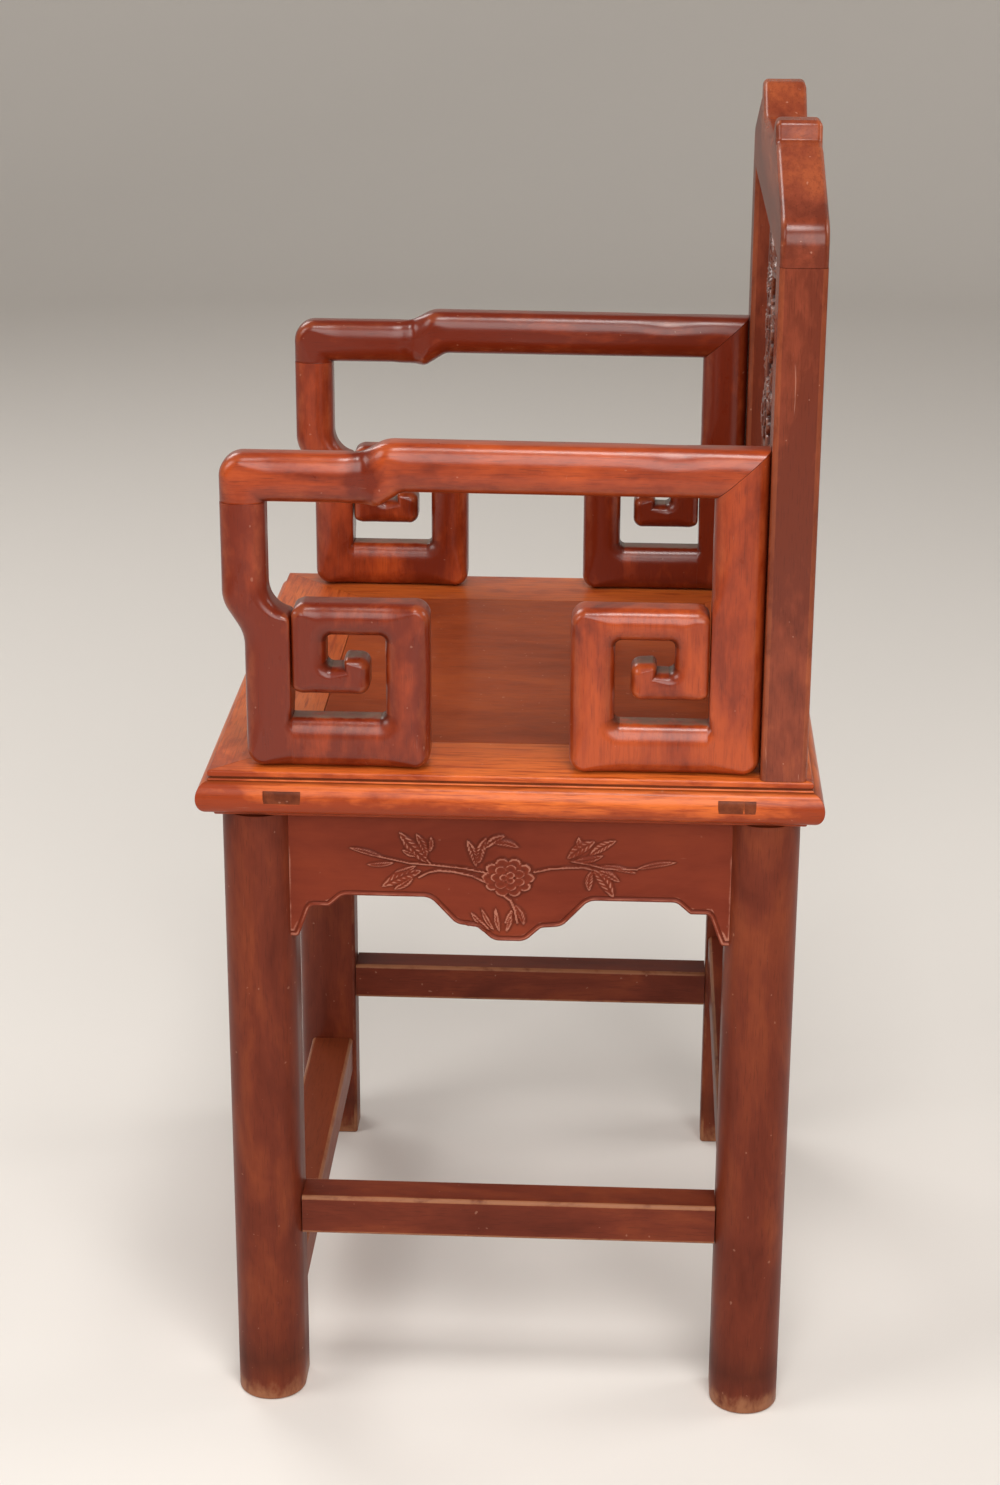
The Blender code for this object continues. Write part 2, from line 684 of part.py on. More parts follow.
def front_fret():
    """Outline of the front post with its scroll, as seen from the side."""
    face = -ARM_FRONT
    back = face + FRONT_POST_WIDTH
    foot = -FRONT_FOOT_FRONT
    root = -FRONT_FOOT_BACK
    crown = ARM_LOW_BOTTOM + ARM_CORNER_ROUND
    post = [
        (foot, SEAT_HEIGHT + FIT, POST_FOOT_ROUND),
        (foot, FRONT_STEP_BOTTOM, POST_STEP_ROUND),
        (face, FRONT_STEP_TOP, POST_STEP_ROUND),
        (face, crown, 0),
        (back, crown, 0),
        (back, FRONT_NECK, POST_NECK_ROUND),
        (root, FRONT_SHOULDER, 0),
    ]
    return rounded(post + scroll_corners(root, 1))


def rear_fret():
    """Outline of the rear post with its scroll."""
    root = REAR_POST_FRONT
    back = BACK_FRONT - FIT
    crown = ARM_BACK_TOP + ARM_CORNER_ROUND
    post = [
        (back, SEAT_HEIGHT + FIT, POST_FOOT_ROUND),
        (back, crown, 0),
        (root, crown, 0),
    ]
    return rounded(post + scroll_corners(root, -1))


def rail_outline():
    """Outline of the arm rail with its step, run on past its mitre and down past the front post."""
    face = -ARM_FRONT
    end = BACK_FRONT + ARM_CORNER_ROUND
    step = ARM_STEP_LENGTH / 2
    fall = (ARM_HIGH_TOP - ARM_BACK_TOP) / (BACK_FRONT + ARM_STEP_TOP)
    back = face + FRONT_POST_WIDTH
    stub = ARM_LOW_BOTTOM - ARM_CORNER_ROUND
    return rounded([
        (face, stub, 0),
        (back, stub, 0),
        (back, ARM_LOW_BOTTOM, 0),
        (-ARM_STEP_BOTTOM - ARM_STEP_LENGTH * 2, ARM_LOW_BOTTOM, ARM_STEP_ROUND),
        (-ARM_STEP_BOTTOM - step, ARM_LOW_BOTTOM - ARM_LIP, ARM_CORNER_ROUND),
        (-ARM_STEP_BOTTOM + step, ARM_HIGH_BOTTOM, ARM_CORNER_ROUND),
        (end, ARM_BACK_BOTTOM, 0),
        (end, ARM_BACK_TOP - fall * ARM_CORNER_ROUND, 0),
        (-ARM_STEP_TOP + step, ARM_HIGH_TOP, ARM_STEP_ROUND),
        (-ARM_STEP_TOP - step, ARM_LOW_TOP, ARM_STEP_ROUND),
        (face, ARM_LOW_TOP, ARM_FRONT_ROUND),
    ])


def arm(side_name, side, seat_side, stile):
    """Arm rail, two posts and two scrolls, mitred and tenoned together and to the seat and stile."""
    low, high = sorted((side * (ARM_X - ARM_THICKNESS / 2), side * (ARM_X + ARM_THICKNESS / 2)))
    middle = side * ARM_X
    mitre_top = Vector((middle, BACK_FRONT, ARM_BACK_TOP))
    mitre = mitre_top - Vector((middle, REAR_POST_FRONT, ARM_BACK_BOTTOM))
    beyond = Vector((0, mitre.z, -mitre.y)).normalized()

    def bars(outline):
        return round_edges(prism(outline, low, high, "YZ"), ARM_EDGE_ROUND,
                           lambda e: e.is_convex)

    head = Vector((middle, 0, ARM_LOW_BOTTOM - FIT))
    rail_mesh = trim(bars(rail_outline()), mitre_top - beyond * FIT / 2, beyond)
    trim(rail_mesh, head, Vector((0, 0, -1)))
    rail = piece(f"arm_rail_{side_name}", rail_mesh, "arm_wood")

    split = -FRONT_FOOT_BACK + SCROLL_SLIT / 2
    front_mesh = trim(bars(front_fret()), Vector((middle, split - FIT / 2, 0)), Vector((0, 1, 0)))
    trim(front_mesh, head - Vector((0, 0, FIT)), Vector((0, 0, 1)))
    front_post = piece(f"front_post_{side_name}", front_mesh, "arm_wood")
    coil_mesh = trim(bars(front_fret()), Vector((middle, split + FIT / 2, 0)), Vector((0, -1, 0)))
    front_scroll = piece(f"front_scroll_{side_name}", coil_mesh, "arm_wood")

    split = REAR_POST_FRONT - SCROLL_SLIT / 2
    rear_mesh = trim(bars(rear_fret()), Vector((middle, split + FIT / 2, 0)), Vector((0, -1, 0)))
    trim(rear_mesh, mitre_top + beyond * FIT / 2, -beyond)
    rear_post = piece(f"rear_post_{side_name}", rear_mesh, "arm_wood")
    coil_mesh = trim(bars(rear_fret()), Vector((middle, split - FIT / 2, 0)), Vector((0, 1, 0)))
    rear_scroll = piece(f"rear_scroll_{side_name}", coil_mesh, "arm_wood")

    seat = SEAT_HEIGHT + FIT
    foot = (POST_TENON_THICKNESS, POST_TENON_WIDTH, POST_TENON_LENGTH)
    pin = (SCROLL_PIN, SCROLL_PIN, SCROLL_PIN)
    front_y = -(FRONT_FOOT_FRONT + FRONT_FOOT_BACK) / 2
    rear_y = (REAR_POST_FRONT + BACK_FRONT) / 2
    base_up = seat + SCROLL_BASE_BAR / 2
    pin_up = seat + SCROLL_HEIGHT - SCROLL_TOP_BAR
    mortise_and_tenon(front_post, [seat_side], (middle, front_y, seat), foot, "-Z",
                      f"front_post_{side_name}_foot")
    mortise_and_tenon(rear_post, [seat_side], (middle, rear_y, seat), foot, "-Z",
                      f"rear_post_{side_name}_foot")
    mortise_and_tenon(
        front_post,
        [rail],
        (middle, -ARM_FRONT + FRONT_POST_WIDTH / 2, ARM_LOW_BOTTOM - FIT * 2),
        (POST_TENON_THICKNESS, POST_TENON_WIDTH, RAIL_TENON_LENGTH),
        "+Z",
        f"front_post_{side_name}_head",
    )
    for label, root, turn, post, scroll in (
        ("front", -FRONT_FOOT_BACK, 1, front_post, front_scroll),
        ("rear", REAR_POST_FRONT, -1, rear_post, rear_scroll),
    ):
        way = "-Y" if turn > 0 else "+Y"
        name = f"{label}_scroll_{side_name}"
        foot_y = root + turn * (SCROLL_WIDTH - SCROLL_OUTER_BAR)
        mortise_and_tenon(scroll, [seat_side], (middle, foot_y, seat), foot, "-Z", f"{name}_foot")
        mortise_and_tenon(
            scroll, [post], (middle, root + turn * SCROLL_SLIT, base_up),
            (POST_TENON_THICKNESS, POST_TENON_WIDTH, STILE_TENON + SCROLL_SLIT), way, f"{name}_base",
        )
        mortise_and_tenon(scroll, [post], (middle, root + turn * SCROLL_SLIT, pin_up), pin, way,
                          f"{name}_pin")
    mitre_middle = mitre_top - mitre / 2
    mortise_and_tenon(
        rail,
        [rear_post],
        (middle, mitre_middle.y - OVERRUN, mitre_middle.z + OVERRUN),
        (POST_TENON_THICKNESS, POST_TENON_WIDTH / 2, POST_TENON_WIDTH),
        "+Y",
        f"rear_mitre_{side_name}",
    )
    mortise_and_tenon(
        rear_post,
        [stile],
        (middle, BACK_FRONT - FIT, ARM_BACK_BOTTOM - POST_TENON_WIDTH),
        (POST_TENON_THICKNESS, POST_TENON_WIDTH, STILE_TENON),
        "+Y",
        f"rear_post_{side_name}_back",
    )


# Back


def crest_outline():
    """Outline of the crest from the front: two horns with a valley between and sloping shoulders."""
    half = [(BACK_HALF, CREST_BASE - CREST_HEIGHT, 0)]
    half += [
        (BACK_HALF * across, CREST_BASE + CREST_HEIGHT * rise, CREST_HEIGHT * radius)
        for across, rise, radius in CREST_SHARES
    ]
    return rounded(mirrored(half))


def crest_rail():
    """Shaped top of the back, which lies across the stiles."""
    mesh = prism(crest_outline(), BACK_FRONT, BACK_FRONT + BACK_THICKNESS, "XZ")
    round_edges(mesh, STILE_ROUND,
                lambda e: all(v.co.z > CREST_BASE for v in e.verts) or e.verts[0].co.z != e.verts[1].co.z)
    trim(mesh, Vector((0, BACK_Y, CREST_BASE)), Vector((0, 0, -1)))
    return piece("crest_rail", mesh, "back_wood")


def stile(side_name, side, crest, rails):
    """Upright of the back, tenoned into the seat frame's corner and into the crest."""
    half = STILE_WIDTH / 2
    front, back = BACK_FRONT, BACK_FRONT + BACK_THICKNESS
    outline = rounded([
        (side * (STILE_X + half), front, STILE_ROUND),
        (side * (STILE_X + half), back, STILE_ROUND),
        (side * (STILE_X - half), back, STILE_ROUND),
        (side * (STILE_X - half), front, STILE_ROUND),
    ])
    mesh = prism(outline, SEAT_HEIGHT + FIT, CREST_BASE - FIT, "XY")
    made = piece(f"stile_{side_name}", mesh, "back_wood")
    size = (STILE_TENON_WIDTH, STILE_TENON_THICKNESS)
    mortise_and_tenon(made, rails, (side * STILE_X, BACK_Y, SEAT_HEIGHT + FIT),
                      (*size, STILE_FOOT_TENON), "-Z", f"stile_{side_name}_foot")
    mortise_and_tenon(made, [crest], (side * STILE_X, BACK_Y, CREST_BASE - FIT),
                      (*size, STILE_HEAD_TENON), "+Z", f"stile_{side_name}_head")
    return made


def splat(crest, rail):
    """Flat board of the splat, tenoned into the crest and the back seat rail."""
    half = SPLAT_WIDTH / 2
    outline = rounded([
        (half, SPLAT_FRONT, SPLAT_ROUND),
        (half, SPLAT_FRONT + SPLAT_THICKNESS, SPLAT_ROUND),
        (-half, SPLAT_FRONT + SPLAT_THICKNESS, SPLAT_ROUND),
        (-half, SPLAT_FRONT, SPLAT_ROUND),
    ])
    made = piece("back_splat", prism(outline, SEAT_HEIGHT + FIT, CREST_BASE - FIT, "XY"), "carved_wood")
    size = (SPLAT_TENON_WIDTH, SPLAT_TENON_THICKNESS, SPLAT_TENON_LENGTH)
    mortise_and_tenon(made, [rail], (0, SPLAT_Y, SEAT_HEIGHT + FIT), size, "-Z", "splat_foot")
    mortise_and_tenon(made, [crest], (0, SPLAT_Y, CREST_BASE - FIT), size, "+Z", "splat_head")


def build():
    """Builds the whole chair, from the seat frame outwards."""
    long_rails = {name: seat_rail(f"seat_rail_{name}", end, True) for name, end in ENDS.items()}
    side_rails = {name: seat_rail(f"seat_rail_{name}", side, False) for name, side in SIDES.items()}
    through_tenons(long_rails, side_rails)
    tenon_wedges()
    panel = seat_panel({**long_rails, **side_rails})
    battens(panel, long_rails)

    legs = {}
    for end_name, end in ENDS.items():
        for side_name, side in SIDES.items():
            corner_rails = [long_rails[end_name], side_rails[side_name]]
            legs[end_name, side_name] = leg(f"leg_{end_name}_{side_name}", side, end, corner_rails)

    across = LEG_SPREAD_X - 2 * LEG_WIDTH
    along = LEG_SPREAD_Y - 2 * LEG_WIDTH
    front_pair = [legs["front", "right"], legs["front", "left"]]
    back_pair = [legs["back", "right"], legs["back", "left"]]
    footrest = -(LEG_SPREAD_Y / 2 - FOOTREST_SETBACK - FOOTREST_WIDTH / 2)
    stretcher("footrest", front_pair, footrest, FOOTREST_WIDTH, FOOTREST_TOP, True, across)
    inset = STRETCHER_SETBACK + STRETCHER_WIDTH / 2
    stretcher("stretcher_back", back_pair, LEG_SPREAD_Y / 2 - inset, STRETCHER_WIDTH,
              BACK_STRETCHER_TOP, True, across)
    apron("apron_front", front_pair, long_rails["front"], True, -1)
    apron("apron_back", back_pair, long_rails["back"], True, 1)
    for side_name, side in SIDES.items():
        pair = [legs["front", side_name], legs["back", side_name]]
        stretcher(f"stretcher_{side_name}", pair, side * (LEG_SPREAD_X / 2 - inset), STRETCHER_WIDTH,
                  SIDE_STRETCHER_TOP, False, along)
        apron(f"apron_{side_name}", pair, side_rails[side_name], False, side)

    crest = crest_rail()
    splat(crest, long_rails["back"])
    for side_name, side in SIDES.items():
        upright = stile(side_name, side, crest, [long_rails["back"], side_rails[side_name]])
        arm(side_name, side, side_rails[side_name], upright)


def main():
    """Clears the scene and builds the chair in it."""
    for old in list(bpy.data.objects):
        bpy.data.objects.remove(old, do_unlink=True)
    for name in ("armchair", "cutters"):
        bpy.context.scene.collection.children.link(bpy.data.collections.new(name))
    build()


main()
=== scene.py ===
"""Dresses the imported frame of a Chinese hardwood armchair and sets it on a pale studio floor.

Z is up, the floor is Z = 0, the front of the chair is -Y and the sitter's left is +X. Lengths are in
metres. Every new piece has the shape and the place of the CAD node that it stands for.
"""

import math

import bpy
import numpy as np
from bpy.props import FloatProperty, FloatVectorProperty, IntProperty, PointerProperty
from bpy.types import Operator, Panel, PropertyGroup
from mathutils import Matrix, Vector


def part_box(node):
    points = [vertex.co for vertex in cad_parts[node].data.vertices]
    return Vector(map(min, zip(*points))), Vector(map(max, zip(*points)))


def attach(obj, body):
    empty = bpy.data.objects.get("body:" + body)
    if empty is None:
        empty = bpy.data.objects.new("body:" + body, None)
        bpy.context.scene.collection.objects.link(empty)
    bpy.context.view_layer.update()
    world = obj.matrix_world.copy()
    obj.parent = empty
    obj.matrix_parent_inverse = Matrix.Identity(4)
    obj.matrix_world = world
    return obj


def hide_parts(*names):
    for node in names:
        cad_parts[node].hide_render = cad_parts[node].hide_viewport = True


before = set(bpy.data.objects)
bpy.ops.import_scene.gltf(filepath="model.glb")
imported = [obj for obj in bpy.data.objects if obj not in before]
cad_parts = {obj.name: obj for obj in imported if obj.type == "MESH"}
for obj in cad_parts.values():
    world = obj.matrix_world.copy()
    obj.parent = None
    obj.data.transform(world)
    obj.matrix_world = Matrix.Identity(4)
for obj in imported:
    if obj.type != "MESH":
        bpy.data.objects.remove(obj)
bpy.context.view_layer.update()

bl_info = {
    "name": "Chinese armchair",
    "version": (1, 0, 0),
    "blender": (4, 5, 0),
    "location": "3D View > Sidebar > Armchair",
    "description": "Hardwood armchair with square scroll arms, carved aprons and a carved splat",
    "category": "Object",
}

SIDES = {"left": 1, "right": -1}
ENDS = {"front": -1, "back": 1}
MILLIMETRE = 0.001
FIT = 0.0003  # gap between two glued pieces of the CAD
SEAM = 0.00004  # gap of a joint that is drawn closed, and so shows as a fine dark line

# Places of the frame, read from the CAD nodes
SEAT_LOW, SEAT_HIGH = (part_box("seat_rail_left")[k].z for k in (0, 1))
HALF_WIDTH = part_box("seat_rail_left")[1].x
HALF_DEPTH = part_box("seat_rail_back")[1].y
LEG_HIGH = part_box("leg_back_left")[1]
ARM_LOW, ARM_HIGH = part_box("arm_rail_left")
STILE_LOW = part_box("stile_left")[0]
CREST_LOW, CREST_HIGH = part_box("crest_rail")
SPLAT_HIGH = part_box("back_splat")[1]


# Sizes, colours and light that a user would change


def metres(name, description, default, low, high):
    """Property for a length."""
    return FloatProperty(name=name, description=description, default=default, min=low, max=high,
                         unit="LENGTH")


def watts(name, description, default):
    """Property for the power of a light."""
    return FloatProperty(name=name, description=description, default=default, min=0, unit="POWER")


def linear(code):
    """Linear colour of an sRGB hex code such as #A05028."""
    parts = [int(code[k:k + 2], 16) / 255 for k in (1, 3, 5)]
    return tuple(p / 12.92 if p <= 0.04045 else ((p + 0.055) / 1.055) ** 2.4 for p in parts) + (1,)


def hue(name, description, code):
    """Colour property with an sRGB hex code for its default."""
    return FloatVectorProperty(name=name, description=description, default=linear(code)[:3], size=3,
                               min=0, max=1, subtype="COLOR")


class ArmchairSizes(PropertyGroup):
    """Roundings, carving depths and fineness of the pieces."""

    arm_round: metres("Arm edge", "Rounding of the arms' and scrolls' edges", 0.0098, 0.001, 0.0105)
    arm_crown: metres("Arm crown", "How far the arms' crown reaches in from an edge", 0.0147, 0.001, 0.0155)
    back_round: metres("Back edge", "Rounding of the stiles' and crest's edges", 0.0042, 0.001, 0.0045)
    rail_round: metres("Stretcher edge", "Rounding of the stretchers' edges", 0.003, 0.0005, 0.006)
    apron_relief: metres("Apron carving", "Height of the flower on the aprons", 0.0024, 0, 0.004)
    splat_relief: metres("Splat carving", "Height of the flowers on the splat", 0.0085, 0, 0.0095)
    carving_step: metres("Carving step", "Spacing of the carved faces' grid", 0.0009, 0.0006, 0.004)
    arc_step: FloatProperty(name="Arc step", description="Turn between two points of a rounded corner",
                            default=math.radians(7.5), min=math.radians(3), max=math.radians(30),
                            subtype="ANGLE")
    round_steps: IntProperty(name="Rounding steps", description="Faces across each rounded edge",
                             default=10, min=2, max=16)


class ArmchairColours(PropertyGroup):
    """Colour of the wood of each group of pieces."""

    arm: hue("Arms", "Wood of the arms, posts and scrolls", "#903615")
    leg: hue("Legs", "Wood of the legs and stretchers", "#682B1A")
    apron: hue("Aprons", "Wood of the aprons", "#742E1C")
    seat_edge: hue("Seat edge", "Wood of the seat's rails", "#C05723")
    panel: hue("Panel", "Wood of the seat's panel", "#8E3E1D")
    back: hue("Back", "Wood of the stiles and the crest", "#7E3822")
    carved: hue("Splat", "Wood of the carved splat", "#682C1C")
    tenon: hue("Tenon ends", "End grain of the tenons and wedges", "#76381E")


class ArmchairStage(PropertyGroup):
    """Power of the soft lights and of the light of the room."""

    key_power: watts("Key light", "Power of the large light beside the camera", 68)
    top_power: watts("Top light", "Power of the small light over the near side", 21)
    front_power: watts("Front light", "Power of the light at the chair's front", 32)
    back_power: watts("Back light", "Power of the light at the chair's back", 27)
    far_power: watts("Far light", "Power of the light at the far side", 29)
    sky: FloatProperty(name="Room light", description="Strength of the even light from above",
                       default=0.19, min=0, max=2)


# Shapes: whole arrays of points

SIDE_STEP = 0.005  # spacing of the points that long sides get
JOINT_CLEAR = 0.020  # how far they keep from the end of a joint, whose own points move along it
COINCIDENT = 0.00001  # points closer than this are one
LEAST_LENGTH = 1e-9  # keeps a length that divides off zero
STRAIGHT = 1e-6  # sine of a turn that counts as none
BESIDE = 0.01  # sine of the slant at which a place counts as beside a point, and not ahead of it
ROOM_STEP = 0.0015  # spacing of the places that limit a crown
ROOM_SHARE = 0.93  # how much of the way to a bar's middle line its crown may take
EASE = 0.33  # most that a crown's width changes per length of outline
WIDE_ROUND = 1.5  # width of a plain crown over its rounding
CROWN_POWER = 1.02  # exponent of the crown's superellipse
RIM = 1.03  # inset of the flat middle of a face, over the crown's width
CORNER_RADIUS = 0.007  # an outer corner of this radius is fully rubbed
HOLLOW_RADIUS = 0.0045  # a hollow corner of this radius is full of grime
SHARP_TURN = math.radians(38)  # edges that turn further stay sharp
GRAIN_ORDER = {"X": (1, 2, 0), "Y": (0, 2, 1), "Z": (0, 1, 2)}  # axes across, across and along the fibres
LOG_SHIFT = (0.37, 0.61, 1.13)  # how far one log's wood lies from the next one's
LOGS = 97  # logs that a piece's wood may come from
# rim is painted shade: a board's sides drawn darker, less where they face up
ATTRIBUTES = ("wear", "dirt", "rim", "dust", "tone")
ROUNDING_WEAR, TURN_WEAR, SIDE_WEAR = 0.75, 0.50, 0.60  # on roundings, more at outer corners, and their sides
SIDE_DIRT, SIDE_SHADE, SIDE_DUST = 3, 2, 8  # exponents: how close they keep to the middle of a side


def stations(count):
    """Start points of equal parts, count[k] of them in side k: each one's side and share of the way."""
    side = np.repeat(np.arange(len(count)), count)
    return side, (np.arange(count.sum()) - np.repeat(np.cumsum(count) - count, count)) / count[side]


def fillet(corners, arc_step):
    """Closed outline through (across, up, radius, joint) corners, counter-clockwise.

    Each corner becomes an arc centre + radius * (cos a, sin a) that touches both of its sides, and
    long sides get points between. A last value of True says that the side that follows the corner
    is a joint face. Returns the points and, for each, whether the side that follows it is one.
    """
    table = np.array([(*corner, False)[:4] for corner in corners], float)
    places, radii, flags = table[:, :2], table[:, 2], table[:, 3] > 0
    area = np.sum(places[:, 0] * np.roll(places[:, 1], -1) - places[:, 1] * np.roll(places[:, 0], -1))
    if area < 0:
        places, radii, flags = places[::-1], radii[::-1], np.roll(flags[::-1], -1)
    points, joints = [], []
    for k, (here, radius) in enumerate(zip(places, radii)):
        back, ahead = places[k - 1] - here, places[(k + 1) % len(places)] - here
        back, ahead = back / np.linalg.norm(back), ahead / np.linalg.norm(ahead)
        arc = here[None]
        if radius:
            half = math.acos(np.clip(back @ ahead, -1, 1)) / 2
            middle = (back + ahead) / np.linalg.norm(back + ahead)
            centre = here + middle * radius / math.sin(half)
            first = here + back * radius / math.tan(half) - centre
            last = here + ahead * radius / math.tan(half) - centre
            start = math.atan2(first[1], first[0])
            sweep = math.remainder(math.atan2(last[1], last[0]) - start, math.tau)
            turn = start + np.linspace(0, sweep, max(2, math.ceil(abs(sweep) / arc_step)) + 1)
            arc = centre + radius * np.stack((np.cos(turn), np.sin(turn)), 1)
        points.append(arc)
        joints += [False] * (len(arc) - 1) + [flags[k]]
    points, joints = np.concatenate(points), np.array(joints)
    apart = np.linalg.norm(points - np.roll(points, -1, 0), axis=1) > COINCIDENT
    points, joints = points[apart], joints[apart]
    side = np.roll(points, -1, 0) - points
    length = np.linalg.norm(side, axis=1)
    first, share = stations(np.where(joints, 1, np.ceil(length / SIDE_STEP)).astype(int))
    after_joint, before_joint = np.roll(joints, 1)[first], np.roll(joints, -1)[first]
    clear = (share == 0) | ~(after_joint & (share * length[first] < JOINT_CLEAR)
                             | before_joint & ((1 - share) * length[first] < JOINT_CLEAR))
    first, share = first[clear], share[clear]
    return points[first] + share[:, None] * side[first], joints[first]


def room(points, joints, width):
    """How far the crown may reach in from each point of an outline.

    It is the width or, if that is less, 0.93 of the radius of the largest circle inside the outline
    that touches it there: the least |q - p|^2 / (2 n.(q - p)) over all other places q on its free
    sides, where n is the inward normal at p. Away from joints it then changes by no more than a
    third of the way along the outline, and so the crown narrows gently towards a corner.
    """
    way = inward(points, joints)
    length = np.maximum(np.linalg.norm(way, axis=1), LEAST_LENGTH)
    side = np.roll(points, -1, 0) - points
    long = np.linalg.norm(side, axis=1)
    first, share = stations(np.where(joints, 0, np.ceil(long / ROOM_STEP)).astype(int))
    gap = (points[first] + share[:, None] * side[first])[None] - points[:, None]
    ahead = np.einsum("pqk,pk->pq", gap, way / length[:, None])
    square = np.sum(gap ** 2, 2)
    # places beside the point itself, which no circle reaches, don't count
    near = ahead > BESIDE * np.sqrt(square) + LEAST_LENGTH
    radius = np.where(near, square / (2 * np.where(near, ahead, 1)), 1).min(1)
    jointed = joints | np.roll(joints, 1)
    free = np.where(jointed, width, np.minimum(width, ROOM_SHARE * radius / length))
    place = np.cumsum(long) - long
    apart = np.abs(place[:, None] - place[None])
    apart = np.minimum(apart, long.sum() - apart)
    return np.where(jointed, width, (free[None] + EASE * apart).min(1))


def inward(points, joints):
    """Way in which each point of an outline moves when its free sides shrink inwards by one.

    Between two free sides that is the mitre (n1 + n2) / (1 + n1.n2) of their inward normals. At a
    joint face it runs along the joint, d / (d.n), and so the joint stays flat.
    """
    ahead = np.roll(points, -1, 0) - points
    ahead /= np.linalg.norm(ahead, axis=1)[:, None]
    back = np.roll(ahead, 1, 0)
    normal = np.stack((-ahead[:, 1], ahead[:, 0]), 1)
    before = np.roll(normal, 1, 0)
    way = (normal + before) / (1 + np.sum(normal * before, 1))[:, None]
    cross = back[:, 0] * ahead[:, 1] - back[:, 1] * ahead[:, 0]
    leaves, arrives = joints, np.roll(joints, 1)
    safe = np.where(np.abs(cross) > STRAIGHT, cross, 1)[:, None]
    way = np.where((leaves & ~arrives)[:, None], ahead / safe, way)
    way = np.where((arrives & ~leaves)[:, None], -back / safe, way)
    return np.where((arrives & leaves)[:, None], 0, way)


def bend(points):
    """Curvature of a closed outline at each point: the turn over the mean length of its two sides."""
    ahead = np.roll(points, -1, 0) - points
    length = np.linalg.norm(ahead, axis=1)
    angle = np.arctan2(ahead[:, 1], ahead[:, 0])
    turn = np.mod(angle - np.roll(angle, 1) + math.pi, math.tau) - math.pi
    return turn / np.maximum((length + np.roll(length, 1)) / 2, COINCIDENT)


def spread(grid, depth, plane):
    """3-D points of 2-D ones in one of the planes XY, XZ and YZ, at a depth along the third axis."""
    axes = ["XYZ".index(letter) for letter in plane]
    placed = np.zeros(grid.shape[:-1] + (3,))
    placed[..., axes[0]] = grid[..., 0]
    placed[..., axes[1]] = grid[..., 1]
    placed[..., 3 - sum(axes)] = depth
    return placed


def tube_faces(rows, columns):
    """Quads between neighbouring rings of a (rows, columns) grid, closed along its columns."""
    r, c = np.meshgrid(np.arange(rows - 1), np.arange(columns), indexing="ij")
    after = (c + 1) % columns
    quads = (r * columns + c, r * columns + after, (r + 1) * columns + after, (r + 1) * columns + c)
    return np.stack(quads, -1).reshape(-1, 4)


def made(name, points, faces, grain, values, log=None):
    """Object of these points and faces, its normals turned outwards and its sharp edges kept.

    grain is the axis that the fibres run along. The attribute of that name holds each point's place
    in the log, (across, across, along), shifted for each log so that no two show the same wood.
    """
    mesh = bpy.data.meshes.new(name)
    mesh.from_pydata(points.tolist(), [], [list(f) for f in faces])
    number = sum(ord(letter) * (k + 3) for k, letter in enumerate(log or name))
    fibres = points[:, GRAIN_ORDER[grain]] + np.array(LOG_SHIFT) * (number % LOGS)
    store = mesh.attributes.new("grain", "FLOAT_VECTOR", "POINT")
    store.data.foreach_set("vector", fibres.astype(np.float32).ravel())
    for key in ATTRIBUTES:
        store = mesh.attributes.new(key, "FLOAT", "POINT")
        full = np.broadcast_to(np.asarray(values.get(key, 0), np.float32), len(points))
        store.data.foreach_set("value", np.ascontiguousarray(full))
    mesh.shade_smooth()
    mesh.set_sharp_from_angle(angle=SHARP_TURN)
    mesh.update()
    if signed_volume(mesh) < 0:
        mesh.flip_normals()
    piece = bpy.data.objects.new(name, mesh)
    bpy.context.scene.collection.objects.link(piece)
    return piece


def signed_volume(mesh):
    """Sum of a . (b x c) / 6 over a closed mesh's triangles; it is positive if faces point outwards."""
    mesh.calc_loop_triangles()
    corner = np.zeros(len(mesh.loop_triangles) * 3, np.int32)
    mesh.loop_triangles.foreach_get("vertices", corner)
    place = np.zeros(len(mesh.vertices) * 3, np.float32)
    mesh.vertices.foreach_get("co", place)
    a, b, c = place.reshape(-1, 3)[corner].reshape(-1, 3, 3).transpose(1, 0, 2).astype(float)
    return float(np.sum(a * np.cross(b, c)) / 6)


